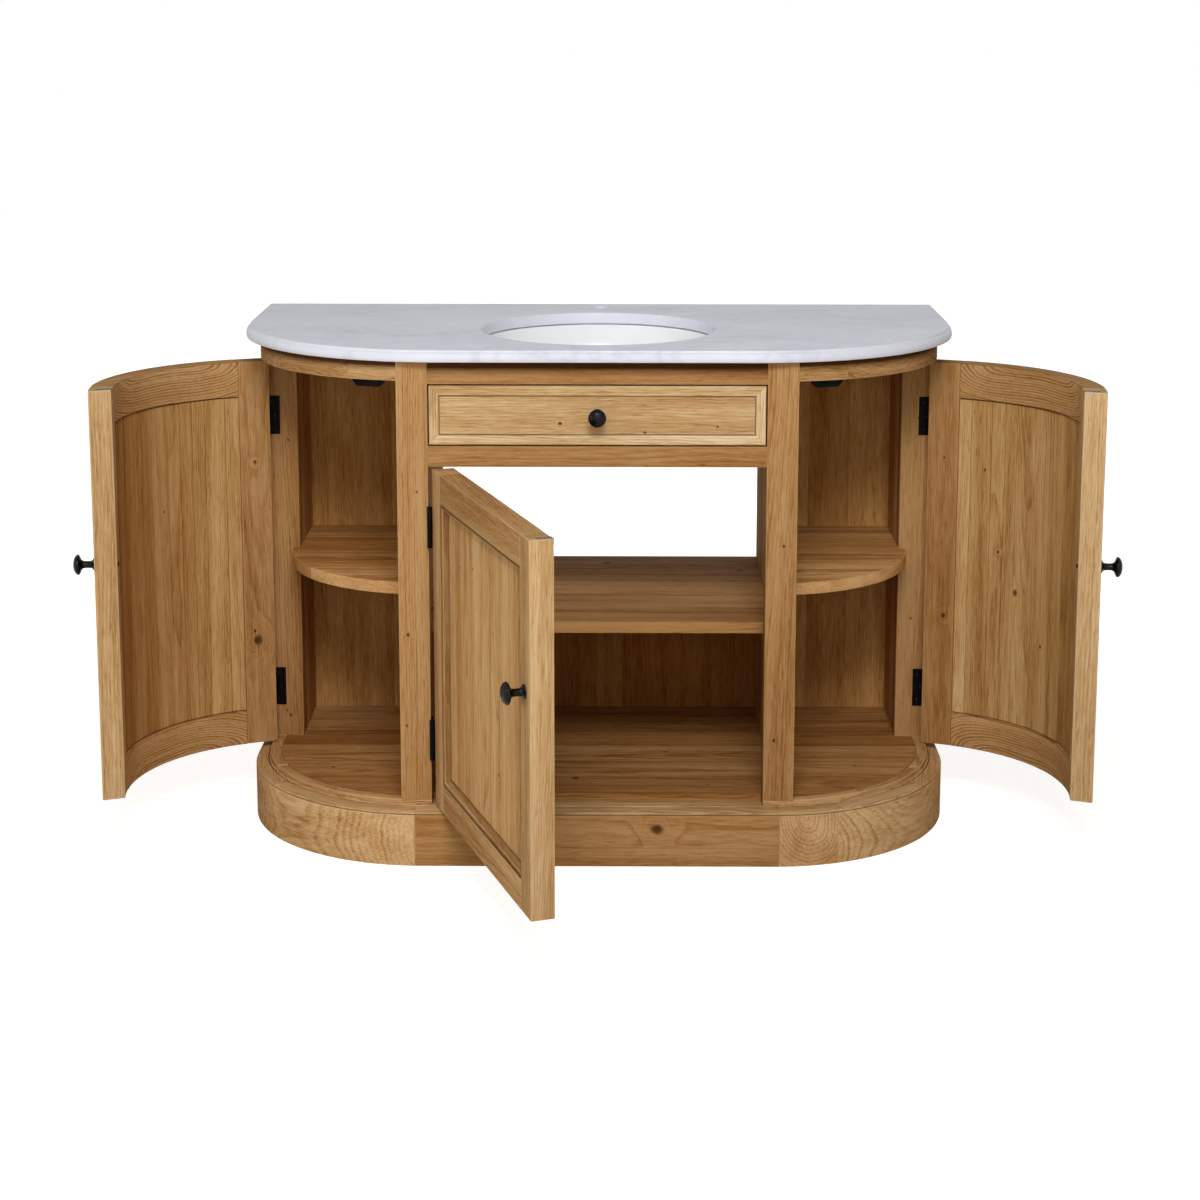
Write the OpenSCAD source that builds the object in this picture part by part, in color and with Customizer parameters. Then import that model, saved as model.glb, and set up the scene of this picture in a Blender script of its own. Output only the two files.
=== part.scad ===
// Bow-ended vanity unit: solid wood cabinet, marble top, undermount basin.
// Millimetres. X to the right, Y to the back, Z up. The origin lies on the floor, on the centre
// line, below the front face of the two front posts.

/* [Cabinet] */
// Height from the floor to the top of the marble
unit_height = 880; // [760:5:950]
// Width over the sides of the cabinet
carcass_width = 1194; // [1110:2:1400]
// Depth from the front face of the posts to the back of the cabinet
carcass_depth = 570; // [530:5:640]
// Radius of the two bow ends, at the outer face
bow_radius = 312; // [290:2:330]
// Thickness of the curved rails and of all doors
door_thickness = 38; // [30:1:45]
// Height of the floor board above the ground
floor_height = 105; // [102:1:140]

/* [Posts and rails] */
// Width of the front posts
post_width = 52; // [45:1:60]
// Depth of every post
post_depth = 45; // [41:1:60]
// Clear width between the front posts
centre_opening = 562; // [530:2:580]
// Distance from the front to the side posts, where the bow ends stop
side_post_y = 362; // [345:1:380]
// Height of the curved rails and of the rail under the marble
apron_height = 34; // [25:1:45]
// Height of the rail above the drawer
top_rail_height = 39; // [30:1:45]
// Height of the rail below the drawer
drawer_rail_height = 35; // [28:1:40]
// Depth of the rail below the drawer, front to back
drawer_rail_depth = 60; // [58:1:90]
// Thickness of the rail above the drawer
top_rail_depth = 24; // [18:1:26]
// Height of the rail at the back, under the marble
rear_rail_height = 80; // [60:1:120]
// Thickness of the rail at the back
rear_rail_depth = 18; // [15:1:20]

/* [Panels and shelves] */
// Thickness of the two dividers
divider_thickness = 20; // [16:1:24]
// How far a divider stands back from the inner side of its post
divider_setback = 17; // [14:1:20]
// Thickness of the side panels
side_panel_thickness = 25; // [18:1:35]
// Thickness of the boarded back
back_thickness = 12; // [8:1:16]
// Distance from the boarded back to the rear of the cabinet
back_inset = 11; // [5:1:20]
// Thickness of the shelves
shelf_thickness = 21; // [18:1:26]
// Height of the top of the side shelves
side_shelf_height = 461; // [380:1:560]
// Height of the top of the centre shelf
centre_shelf_height = 399; // [300:1:450]
// How far the centre shelf stands back from the front
centre_shelf_setback = 75; // [60:1:140]
// Radius of the rounded front of the side shelves
side_shelf_radius = 271; // [262:1:272]
// Setback of the side shelves behind the front of the cabinet
side_shelf_setback = 92; // [85:1:130]

/* [Plinth] */
// Height of the plinth
plinth_height = 90; // [75:1:94]
// How far the plinth stands out in front of the posts
plinth_front_step = 35; // [24:1:45]
// How far the plinth stands out beyond the sides
plinth_side_step = 22; // [14:1:30]
// Radius of the plinth's bow ends
plinth_radius = 322; // [300:1:335]
// Thickness of the plinth boards
plinth_thickness = 40; // [36:1:50]
// Width of the straight board in the middle of the plinth
plinth_front_width = 616; // [500:2:640]
// Width of the bearers under the floor board
bearer_width = 45; // [30:1:60]
// Distance between the bearers
bearer_spacing = 230; // [160:5:260]
// How far the floor board is rebated for the centre door
door_rebate = 8.5; // [3:0.5:10]

/* [Doors] */
// Angle at which the two curved doors stand open
side_door_angle = 69; // [0:1:105]
// Angle at which the centre door stands open
centre_door_angle = 71; // [0:1:110]
// Gap round a door and round the drawer front
door_gap = 2.5; // [1.5:0.5:4]
// Space behind the centre door, up to the step of its rebate
rebate_play = 1; // [0.5:0.5:3]
// Space above the curved doors, where their catches hang
side_door_top_gap = 15; // [14:1:20]
// Height of the knobs on the curved doors
side_knob_height = 512; // [300:1:700]
// Height of the knob on the centre door
centre_knob_height = 446; // [250:1:600]
// Width of the stiles of the curved doors
side_stile_width = 55; // [50:1:70]
// Height of the rails of the curved doors
side_rail_height = 62; // [45:1:80]
// Width of the stiles and rails of the centre door
centre_frame_width = 50; // [40:1:65]
// How far the door panels lie below the outer face
panel_recess = 12; // [8:1:14]
// How far the door panels lie below the inner face
panel_inner_recess = 4; // [2:1:10]
// How deep the panels stand in their grooves
panel_tongue = 8; // [5:1:12]
// Play of a panel in its groove
panel_play = 0.2; // [0.1:0.1:0.5]

/* [Hinges] */
// Height of a butt hinge
hinge_height = 70; // [50:1:90]
// Width of a hinge leaf
leaf_width = 21; // [14:1:24]
// Thickness of a hinge leaf
leaf_thickness = 2; // [1.5:0.1:2.4]
// Space between two folded leaves
leaf_play = 0.6; // [0.4:0.1:1]
// Radius of the hinge knuckles
knuckle_radius = 4.3; // [4:0.1:4.4]
// Radius of the hinge pins
pin_radius = 2; // [1.5:0.1:2.5]
// Running clearance round a hinge pin
pin_play = 0.05; // [0.03:0.01:0.1]
// Distance of the hinge axis in front of the wood
axis_standoff = 4; // [4:0.1:5]
// Distance from a curved door's lower edge to the middle of its lower hinge
side_lower_hinge_rise = 92; // [80:1:140]
// Distance from a curved door's upper edge to the middle of its upper hinge
side_upper_hinge_drop = 105; // [80:1:140]
// Distance from the centre door's lower edge to the middle of its lower hinge
centre_lower_hinge_rise = 113; // [80:1:140]
// Distance from the centre door's upper edge to the middle of its upper hinge
centre_upper_hinge_drop = 99; // [80:1:140]

/* [Knobs and catches] */
// Diameter of the door knobs
door_knob_diameter = 35; // [28:1:40]
// Diameter of the drawer knob
drawer_knob_diameter = 30; // [24:1:36]
// How far a knob stands out
knob_projection = 36; // [26:1:40]
// Distance from a door's free edge to its knob
knob_edge_distance = 29; // [24:1:40]
// Radius of the knob screws
knob_screw_radius = 2; // [1.5:0.1:2.5]
// Play of a knob screw in its hole
knob_screw_play = 0.2; // [0.1:0.1:0.5]
// Width of a door catch
catch_width = 56; // [40:1:60]
// How far a catch hangs below its rail
catch_drop = 13; // [8:1:13.5]
// How far the centre door's catch hangs below the drawer rail, hidden behind it
centre_catch_drop = 7; // [5:0.5:8]
// Depth of a door catch
catch_depth = 16; // [12:1:18]
// Distance from a front post to the middle of the catch of a curved door
catch_offset = 47; // [40:1:80]
// Space between the closed centre door and its catch
catch_play = 0.5; // [0.3:0.1:2]

/* [Drawer] */
// Height of the drawer opening
drawer_height = 104; // [96:1:120]
// Thickness of the drawer front
drawer_front_thickness = 22; // [18:1:24]
// Height of the drawer sides
drawer_side_height = 68; // [50:1:74]
// Thickness of the drawer sides and backs
drawer_board = 12; // [9:1:14]
// Thickness of the drawer bottoms
drawer_bottom_thickness = 6; // [4:1:8]
// Length of the drawer behind its front
drawer_length = 420; // [300:5:480]
// Space between the trays and the posts
tray_side_space = 9; // [4:1:12]
// Height of the trays above the rail below the drawer
tray_rise = 10; // [6:1:14]
// Width of each of the two trays beside the basin
tray_width = 66; // [50:1:70]
// Distance of the routed groove from the edge of the drawer front
groove_inset = 16; // [12:1:20]
// Width of the routed groove
groove_width = 3; // [2:0.5:4]
// Depth of the routed groove
groove_depth = 2; // [1:0.5:4]
// Play between the drawer and its runners
runner_play = 0.3; // [0.2:0.1:0.5]

/* [Marble top] */
// Thickness of the marble
top_thickness = 20; // [16:1:25]
// Width of the marble
top_width = 1252; // [1210:2:1480]
// Overhang of the marble in front
top_front_overhang = 22; // [15:1:30]
// Overhang of the marble at the back
top_back_overhang = 10; // [0:1:20]
// Radius of the marble's bow ends
top_radius = 366; // [340:2:385]
// Radius of the marble's two back corners
top_corner_radius = 12; // [9:1:25]
// Diameter of the cut-out for the basin
cutout_diameter = 408; // [360:2:414]
// Distance from the front of the posts to the middle of the cut-out
cutout_y = 252; // [245:1:262]
// Diameter of the tap hole
tap_hole_diameter = 35; // [32:1:36]
// Distance from the back edge of the marble to the middle of the tap hole
tap_hole_setback = 48; // [46:1:55]

/* [Basin] */
// Depth of the bowl below the marble
bowl_depth = 150; // [120:1:170]
// Thickness of the basin wall
basin_wall = 8; // [6:1:12]
// Width of the basin's rim outside the cut-out
rim_width = 20; // [14:1:21]
// Thickness of the basin's rim
rim_thickness = 12; // [8:1:16]
// How far the bowl's edge shows inside the cut-out
rim_reveal = 6; // [2:1:12]
// Diameter of the waste hole
waste_diameter = 45; // [40:1:50]

/* [Hidden] */

$fn = 144;
cut = 1;                 // how far a cutting shape passes through
left = -1;
right = 1;
fine = 48;               // sides of small round things

// Outline of the cabinet
half = carcass_width / 2;
bow_x = half - bow_radius;
bow_y = bow_radius;
panel_thickness = door_thickness - panel_recess - panel_inner_recess;
top_bottom = unit_height - top_thickness;
apron_bottom = top_bottom - apron_height;
post_in = centre_opening / 2;
post_out = post_in + post_width;
side_post_in = half - post_width;
rear_post_y = carcass_depth - post_depth;
side_post_back = side_post_y + post_depth;
divider_in = post_in + divider_setback;
divider_out = divider_in + divider_thickness;
back_rear = carcass_depth - back_inset;
back_front = back_rear - back_thickness;

// Drawer opening
drawer_top = top_bottom - top_rail_height;
drawer_floor = drawer_top - drawer_height;
drawer_rail_bottom = drawer_floor - drawer_rail_height;

// Doors
hinge_gap = 2 * leaf_thickness + leaf_play;
rebate_floor = floor_height - door_rebate;
side_door_bottom = floor_height + door_gap;
centre_door_bottom = rebate_floor + door_gap;
side_door_top = apron_bottom - side_door_top_gap;
centre_door_top = drawer_rail_bottom - door_gap;
side_door_end = side_post_y - hinge_gap;
side_axis = [half + axis_standoff, side_post_y - hinge_gap / 2];
centre_axis = [-post_in + hinge_gap / 2, -axis_standoff];
free_x = post_out + door_gap;
free_angle = asin((free_x - bow_x) / bow_radius);
stile_degrees = side_stile_width / bow_radius * 180 / PI;
stile_angle = free_angle + stile_degrees;
tongue_degrees = panel_tongue / (bow_radius - panel_recess) * 180 / PI;
hinge_stile_y = side_door_end - side_stile_width;
knob_angle = free_angle + knob_edge_distance / bow_radius * 180 / PI;
centre_left = -post_in + hinge_gap;
centre_right = post_in - door_gap;

// Hinge heights
side_lower_hinge_z = side_door_bottom + side_lower_hinge_rise;
side_upper_hinge_z = side_door_top - side_upper_hinge_drop;
centre_lower_hinge_z = centre_door_bottom + centre_lower_hinge_rise;
centre_upper_hinge_z = centre_door_top - centre_upper_hinge_drop;

// Drawer
drawer_half = post_in - door_gap;
tray_out = post_in - tray_side_space;
tray_in = tray_out - tray_width;
tray_bottom = drawer_floor + tray_rise;
tray_back = drawer_front_thickness + drawer_length;

// Basin
bowl_radius = cutout_diameter / 2 - rim_reveal;

// Plinth
plinth_half = half + plinth_side_step;
bearer_back = back_rear - plinth_thickness / 2;

// Wood tones
oak = [0.69, 0.52, 0.33];
pale_oak = [0.76, 0.60, 0.40];
deep_oak = [0.52, 0.36, 0.20];
iron = [0.10, 0.09, 0.09];

// A plan with a straight front, two bow ends and straight sides, as far back as back_y
module bow_plan(half_width, front_y, radius, back_y) {
    intersection() {
        union() {
            for (s = [left, right])
                translate([s * (half_width - radius), front_y + radius])
                    circle(r = radius);
            translate([radius - half_width, front_y])
                square([2 * (half_width - radius), back_y - front_y]);
            translate([-half_width, front_y + radius])
                square([2 * half_width, back_y - front_y - radius]);
        }
        translate([-half_width, front_y])
            square([2 * half_width, back_y - front_y]);
    }
}

// The cabinet's outline, moved in by inset
module outline(inset, back_y = carcass_depth) {
    bow_plan(half - inset, inset, bow_radius - inset, back_y);
}

// The right-hand strip between two insets of the outline, from from_x round to to_y
module band(outer, inner, from_x, to_y) {
    intersection() {
        difference() {
            outline(outer);
            outline(inner, carcass_depth + cut);
        }
        translate([from_x, -cut])
            square([half, to_y + cut]);
    }
}

// A wedge from the middle of the right-hand bow, angles measured from the front
module wedge(from_angle, to_angle) {
    reach = 2 * bow_radius;
    translate([bow_x, bow_y])
        polygon([
            [0, 0],
            [reach * sin(from_angle), -reach * cos(from_angle)],
            [reach * sin(to_angle), -reach * cos(to_angle)]
        ]);
}

// An upright block between two corners
module block(low, high) {
    translate(low)
        cube(high - low);
}

module slab(low_z, high_z) {
    translate([0, 0, low_z])
        linear_extrude(high_z - low_z)
            children();
}

// Right-hand shapes are drawn as they are and mirrored for the left
module on_side(s) {
    mirror([s == left ? 1 : 0, 0, 0])
        children();
}

module turned(axis, angle) {
    translate([axis.x, axis.y, 0])
        rotate([0, 0, angle])
            translate([-axis.x, -axis.y, 0])
                children();
}

module on_side_door(s) {
    on_side(s)
        turned(side_axis, side_door_angle)
            children();
}

module on_centre_door() {
    turned(centre_axis, -centre_door_angle)
        children();
}

// Plinth

module plinth_ring(inset) {
    bow_plan(plinth_half - inset, inset - plinth_front_step, plinth_radius - inset, back_rear);
}

module plinth_front() {
    color(oak)
        block([-plinth_front_width / 2, -plinth_front_step, 0],
              [plinth_front_width / 2, plinth_thickness - plinth_front_step, plinth_height]);
}

module plinth_end(s) {
    color(oak)
        on_side(s)
            slab(0, plinth_height)
                intersection() {
                    difference() {
                        plinth_ring(0);
                        bow_plan(plinth_half - plinth_thickness, plinth_thickness - plinth_front_step,
                                 plinth_radius - plinth_thickness, back_rear + cut);
                    }
                    translate([plinth_front_width / 2, -plinth_front_step])
                        square([plinth_half, back_rear + plinth_front_step]);
                }
}

module plinth_back() {
    reach = plinth_half - plinth_thickness;
    color(deep_oak)
        block([-reach, back_rear - plinth_thickness / 2, 0], [reach, back_rear, plinth_height]);
}

module plinth_bearers() {
    color(deep_oak)
        for (i = [-1 : 1])
            block([i * bearer_spacing - bearer_width / 2, plinth_thickness - plinth_front_step, 0],
                  [i * bearer_spacing + bearer_width / 2, bearer_back, plinth_height]);
}

// The rounded strip between the plinth's face and the floor board, up to the centre rebate.
// Each step is [share of the way out to the plinth's face, share of the height].
module moulding_all() {
    steps = [[0.95, 0.3], [0.78, 0.5], [0.5, 0.75], [0.2, 1]];
    height = rebate_floor - plinth_height;
    for (i = [0 : len(steps) - 1]) {
        share = steps[i][0];
        slab(plinth_height + height * (i == 0 ? 0 : steps[i - 1][1]),
             plinth_height + height * steps[i][1])
            difference() {
                bow_plan(half + share * plinth_side_step, -share * plinth_front_step,
                         bow_radius + share * (plinth_radius - bow_radius), back_rear);
                outline(0, back_rear + cut);
            }
    }
}

module base_moulding() {
    seam = plinth_front_width / 2;
    play = 0.1;
    color(pale_oak)
        for (x = [-plinth_half - play, -seam, seam + play]) {
            width = x == -seam ? 2 * seam : plinth_half - seam;
            intersection() {
                moulding_all();
                block([x, -plinth_front_step - cut, plinth_height],
                      [x + width, carcass_depth, floor_height]);
            }
        }
}

module base_board() {
    color(oak)
        difference() {
            slab(plinth_height, floor_height)
                outline(0);
            block([-post_in, -cut, rebate_floor],
                  [post_in, door_thickness + rebate_play, floor_height + cut]);
        }
}

// Carcass

module front_post(s) {
    color(pale_oak)
        on_side(s)
            block([post_in, 0, floor_height], [post_out, post_depth, top_bottom]);
}

module side_post(s) {
    color(pale_oak)
        on_side(s)
            block([side_post_in, side_post_y, floor_height], [half, side_post_back, apron_bottom]);
}

module rear_post(s) {
    color(oak)
        on_side(s)
            block([side_post_in, rear_post_y, floor_height], [half, carcass_depth, apron_bottom]);
}

module side_panel(s) {
    color(oak)
        on_side(s)
            block([side_post_in, side_post_back, floor_height],
                  [side_post_in + side_panel_thickness, rear_post_y, apron_bottom]);
}

module divider(s) {
    color(oak)
        on_side(s)
            block([divider_in, post_depth, floor_height], [divider_out, carcass_depth, top_bottom]);
}

module back_panel(s) {
    color(deep_oak)
        on_side(s)
            block([divider_out, back_front, floor_height], [side_post_in, back_rear, top_bottom]);
}

module back_panel_centre() {
    color(deep_oak)
        block([-divider_in, back_front, floor_height],
              [divider_in, back_rear, centre_shelf_height - shelf_thickness]);
}

module top_rail() {
    color(oak)
        block([-post_in, 0, drawer_top], [post_in, top_rail_depth, top_bottom]);
}

module drawer_rail() {
    color(oak)
        block([-post_in, 0, drawer_rail_bottom], [post_in, drawer_rail_depth, drawer_floor]);
}

// The rail is notched so that the nut of the tap can be reached
module rear_rail() {
    notch = 45;
    front = carcass_depth - rear_rail_depth;
    color(deep_oak)
        difference() {
            block([-divider_in, front, top_bottom - rear_rail_height],
                  [divider_in, carcass_depth, top_bottom]);
            block([-notch, front - cut, top_bottom - notch],
                  [notch, carcass_depth + cut, top_bottom + cut]);
        }
}

module apron(s) {
    color(pale_oak)
        on_side(s)
            slab(apron_bottom, top_bottom)
                band(0, door_thickness, post_out, carcass_depth);
}

module side_shelf(s) {
    middle_y = side_shelf_setback + side_shelf_radius;
    color(pale_oak)
        on_side(s)
            slab(side_shelf_height - shelf_thickness, side_shelf_height)
                difference() {
                    intersection() {
                        union() {
                            translate([bow_x, middle_y])
                                circle(r = side_shelf_radius);
                            translate([divider_out, middle_y])
                                square([side_post_in - divider_out, back_front - middle_y]);
                        }
                        translate([divider_out, 0])
                            square([half, back_front]);
                    }
                    translate([side_post_in, side_post_y])
                        square([half, carcass_depth]);
                }
}

module shelf_centre() {
    color(oak)
        block([-divider_in, centre_shelf_setback, centre_shelf_height - shelf_thickness],
              [divider_in, back_rear, centre_shelf_height]);
}

// Marble and basin

// One sawn outline rounds the back corners of all the layers of the worked edge
module top_layer(inset, low_z, high_z) {
    side = top_width / 2;
    back = carcass_depth + top_back_overhang;
    rounding = top_corner_radius;
    slab(low_z, high_z)
        intersection() {
            bow_plan(side - inset, inset - top_front_overhang, top_radius - inset, back);
            union() {
                translate([-side, -top_front_overhang])
                    square([2 * side, back - rounding + top_front_overhang]);
                translate([rounding - side, back - 2 * rounding])
                    square([2 * (side - rounding), 2 * rounding]);
                for (s = [left, right])
                    translate([s * (side - rounding), back - rounding])
                        circle(r = rounding);
            }
        }
}

module marble_top() {
    edge = [[3, 0, 0.3], [0, 0.3, 0.75], [3, 0.75, 0.85], [7, 0.85, 1]];
    color([0.85, 0.86, 0.89])
        difference() {
            for (e = edge)
                top_layer(e[0], top_bottom + top_thickness * e[1], top_bottom + top_thickness * e[2]);
            translate([0, cutout_y, top_bottom - cut])
                cylinder(h = top_thickness + 2 * cut, d = cutout_diameter);
            translate([0, carcass_depth + top_back_overhang - tap_hole_setback, top_bottom - cut])
                cylinder(h = top_thickness + 2 * cut, d = tap_hole_diameter);
        }
}

// Half section of the bowl: a quarter of a rounded square, from the rim down to the middle
function bowl_curve(radius, depth, steps = 16, power = 2.5) = [
    for (i = [0 : steps])
        let (a = 90 * i / steps)
            [radius * pow(cos(a), 2 / power), -depth * pow(sin(a), 2 / power)]
];

module basin() {
    inner = bowl_curve(bowl_radius, bowl_depth);
    outer = bowl_curve(bowl_radius + basin_wall, bowl_depth + basin_wall);
    count = len(inner);
    section = concat(
        [for (p = inner) [max(p.x, 0), p.y]],
        [for (i = [count - 1 : -1 : 0]) [max(outer[i].x, 0), outer[i].y]]
    );
    color("white")
        difference() {
            translate([0, cutout_y, top_bottom])
                union() {
                    rotate_extrude()
                        polygon(section);
                    difference() {
                        translate([0, 0, -rim_thickness])
                            cylinder(h = rim_thickness, r = cutout_diameter / 2 + rim_width);
                        translate([0, 0, -rim_thickness - cut])
                            cylinder(h = rim_thickness + 2 * cut, r = bowl_radius + basin_wall / 2);
                    }
                }
            translate([0, cutout_y, top_bottom - bowl_depth - 3 * basin_wall])
                cylinder(h = 4 * basin_wall, d = waste_diameter);
        }
}

module basin_clips() {
    clip_width = 26;
    clip_thickness = 3;
    grip = 12;
    rim_edge = cutout_diameter / 2 + rim_width;
    color("silver")
        for (a = [45 : 90 : 315])
            translate([0, cutout_y, top_bottom])
                rotate([0, 0, a]) {
                    translate([rim_edge - grip, -clip_width / 2, -rim_thickness - clip_thickness])
                        cube([2 * grip, clip_width, clip_thickness]);
                    translate([rim_edge + 1, -clip_width / 2, -rim_thickness])
                        cube([grip - 1, clip_width, rim_thickness]);
                }
}

// Catches, hinges and knobs

// A catch below z = 0: a plate whose sides slope in to two thirds of its width
module catch_body(drop) {
    lip = 0.15 * drop;
    foot = catch_width / 3;
    rotate([90, 0, 0])
        linear_extrude(catch_depth, center = true)
            polygon([
                [-catch_width / 2, 0], [-catch_width / 2, -lip], [-foot, -drop],
                [foot, -drop], [catch_width / 2, -lip], [catch_width / 2, 0]
            ]);
}

module door_catches() {
    middle_radius = bow_radius - door_thickness / 2;
    catch_angle = asin((post_out + catch_offset - bow_x) / middle_radius);
    color(iron) {
        for (s = [left, right])
            on_side(s)
                translate([bow_x, bow_y, apron_bottom])
                    rotate([0, 0, catch_angle])
                        translate([0, -middle_radius, 0])
                            catch_body(catch_drop);
        translate([post_in - centre_frame_width - catch_width,
                   door_thickness + catch_play + catch_depth / 2, drawer_rail_bottom])
            catch_body(centre_catch_drop);
    }
}

// One leaf of a butt hinge. The hinge's axis is the Z axis, the leaf lies along +X with its
// back at distance leaf_thickness + leaf_play / 2. It carries the knuckles listed in parts.
module hinge_leaf(parts, bore) {
    part_height = hinge_height / 3;
    leaf_clear = knuckle_radius + 0.4;
    difference() {
        union() {
            translate([leaf_clear, leaf_play / 2, 0])
                cube([axis_standoff + leaf_width - leaf_clear, leaf_thickness, hinge_height]);
            for (i = parts)
                translate([0, 0, i * part_height + 0.15]) {
                    cylinder(h = part_height - 0.3, r = knuckle_radius, $fn = fine);
                    translate([0, leaf_play / 2, 0])
                        cube([leaf_clear + 1, leaf_thickness, part_height - 0.3]);
                }
        }
        translate([0, 0, -cut])
            cylinder(h = hinge_height + 2 * cut, r = bore, $fn = fine);
    }
}

module frame_leaf() {
    hinge_leaf([0, 2], pin_radius);
    cylinder(h = hinge_height, r = pin_radius, $fn = fine);
}

module door_leaf() {
    mirror([0, 1, 0])
        hinge_leaf([1], pin_radius + pin_play);
}

// Places hinge leaves of the right-hand curved door, whose axis lies beyond its outer face
module at_side_hinges() {
    for (z = [side_lower_hinge_z, side_upper_hinge_z])
        translate([side_axis.x, side_axis.y, z - hinge_height / 2])
            mirror([1, 0, 0])
                children();
}

// Places hinge leaves of the centre door, whose axis lies in front of its outer face
module at_centre_hinges() {
    for (z = [centre_lower_hinge_z, centre_upper_hinge_z])
        translate([centre_axis.x, centre_axis.y, z - hinge_height / 2])
            rotate([0, 0, 90])
                children();
}

module frame_hinges() {
    color(iron) {
        for (s = [left, right])
            on_side(s)
                at_side_hinges()
                    frame_leaf();
        at_centre_hinges()
            frame_leaf();
    }
}

// A turned knob on the Z axis with its base at zero, and the screw that holds it from behind
module knob(diameter, board) {
    neck = 6.2;
    base = 11.3;
    head_start = knob_projection - 12;
    head_radius = diameter / 2;
    screw_in = 12;
    color(iron) {
        difference() {
            rotate_extrude($fn = fine)
                polygon([
                    [0, 0], [base, 0], [base, 2], [base - 3, 4], [neck, 8],
                    [neck, head_start - 3], [neck + 2, head_start], [head_radius - 1.5, head_start + 1.5],
                    [head_radius, head_start + 4], [head_radius - 1.5, head_start + 7],
                    [head_radius * 0.7, knob_projection - 1.5], [head_radius * 0.3, knob_projection - 0.3],
                    [0, knob_projection]
                ]);
            translate([0, 0, -cut])
                cylinder(h = screw_in + 1.5 * cut, r = knob_screw_radius + pin_play, $fn = fine);
        }
        translate([0, 0, -board])
            cylinder(h = board + screw_in, r = knob_screw_radius, $fn = fine);
        translate([0, 0, -board - 2.5])
            cylinder(h = 2.5, r = 2.2 * knob_screw_radius, $fn = fine);
    }
}

module screw_hole(board) {
    translate([0, 0, -board - cut])
        cylinder(h = board + 2 * cut, r = knob_screw_radius + knob_screw_play, $fn = fine);
}

// Curved doors, drawn closed on the right

module side_door_band(low_z, high_z) {
    slab(low_z, high_z)
        band(0, door_thickness, free_x, side_door_end);
}

module at_side_knob() {
    translate([bow_x, bow_y, side_knob_height])
        rotate([0, 0, knob_angle])
            translate([0, -bow_radius, 0])
                rotate([90, 0, 0])
                    children();
}

// The boarded panel with its tongue; play widens it to the shape of its groove
module side_panel_solid(play) {
    tongue = panel_tongue + play;
    slab(side_door_bottom + side_rail_height - tongue, side_door_top - side_rail_height + tongue)
        difference() {
            band(panel_recess - play, panel_recess + panel_thickness + play, free_x,
                 hinge_stile_y + tongue);
            wedge(-20, stile_angle - tongue_degrees * tongue / panel_tongue);
        }
}

module side_hinge_stile() {
    color(pale_oak)
        difference() {
            intersection() {
                side_door_band(side_door_bottom, side_door_top);
                block([bow_x, hinge_stile_y, side_door_bottom], [half, side_door_end, side_door_top]);
            }
            side_panel_solid(panel_play);
        }
}

module side_free_stile() {
    color(pale_oak)
        difference() {
            intersection() {
                side_door_band(side_door_bottom, side_door_top);
                slab(side_door_bottom, side_door_top)
                    wedge(-20, stile_angle);
            }
            side_panel_solid(panel_play);
            at_side_knob()
                screw_hole(door_thickness);
        }
}

module side_rail(low_z) {
    color(oak)
        difference() {
            intersection() {
                side_door_band(low_z, low_z + side_rail_height);
                slab(low_z, low_z + side_rail_height)
                    difference() {
                        translate([bow_x, -cut])
                            square([bow_radius, hinge_stile_y + cut]);
                        wedge(-20, stile_angle);
                    }
            }
            side_panel_solid(panel_play);
        }
}

// Centre door, drawn closed

module centre_panel_solid(play) {
    inner = centre_frame_width - panel_tongue - play;
    block([centre_left + inner, panel_recess - play, centre_door_bottom + inner],
          [centre_right - inner, panel_recess + panel_thickness + play, centre_door_top - inner]);
}

module at_centre_knob() {
    translate([centre_right - knob_edge_distance + 2, 0, centre_knob_height])
        rotate([90, 0, 0])
            children();
}

module centre_stile(from_x) {
    color(pale_oak)
        difference() {
            block([from_x, 0, centre_door_bottom],
                  [from_x + centre_frame_width, door_thickness, centre_door_top]);
            centre_panel_solid(panel_play);
            at_centre_knob()
                screw_hole(door_thickness);
        }
}

module centre_rail(low_z) {
    color(oak)
        difference() {
            block([centre_left + centre_frame_width, 0, low_z],
                  [centre_right - centre_frame_width, door_thickness, low_z + centre_frame_width]);
            centre_panel_solid(panel_play);
        }
}

// Drawer

module drawer_front() {
    low = drawer_floor + door_gap;
    high = drawer_top - door_gap;
    color(oak)
        difference() {
            block([-drawer_half, 0, low], [drawer_half, drawer_front_thickness, high]);
            difference() {
                block([groove_inset - drawer_half, -cut, low + groove_inset],
                      [drawer_half - groove_inset, groove_depth, high - groove_inset]);
                block([groove_inset + groove_width - drawer_half, -2 * cut,
                       low + groove_inset + groove_width],
                      [drawer_half - groove_inset - groove_width, groove_depth + cut,
                       high - groove_inset - groove_width]);
            }
            translate([0, 0, (low + high) / 2])
                rotate([90, 0, 0])
                    screw_hole(drawer_front_thickness);
        }
}

module drawer_sides() {
    color(pale_oak)
        for (s = [left, right])
            on_side(s)
                for (x = [tray_in, tray_out - drawer_board])
                    block([x, drawer_front_thickness, tray_bottom],
                          [x + drawer_board, tray_back, tray_bottom + drawer_side_height]);
}

module drawer_backs() {
    color(pale_oak)
        for (s = [left, right])
            on_side(s)
                block([tray_in + drawer_board, tray_back - drawer_board,
                       tray_bottom + drawer_bottom_thickness],
                      [tray_out - drawer_board, tray_back, tray_bottom + drawer_side_height]);
}

module drawer_bottoms() {
    color(oak)
        for (s = [left, right])
            on_side(s)
                block([tray_in + drawer_board, drawer_front_thickness, tray_bottom],
                      [tray_out - drawer_board, tray_back, tray_bottom + drawer_bottom_thickness]);
}

module drawer_knob() {
    translate([0, 0, (drawer_floor + drawer_top) / 2])
        rotate([90, 0, 0])
            knob(drawer_knob_diameter, drawer_front_thickness);
}

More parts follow.
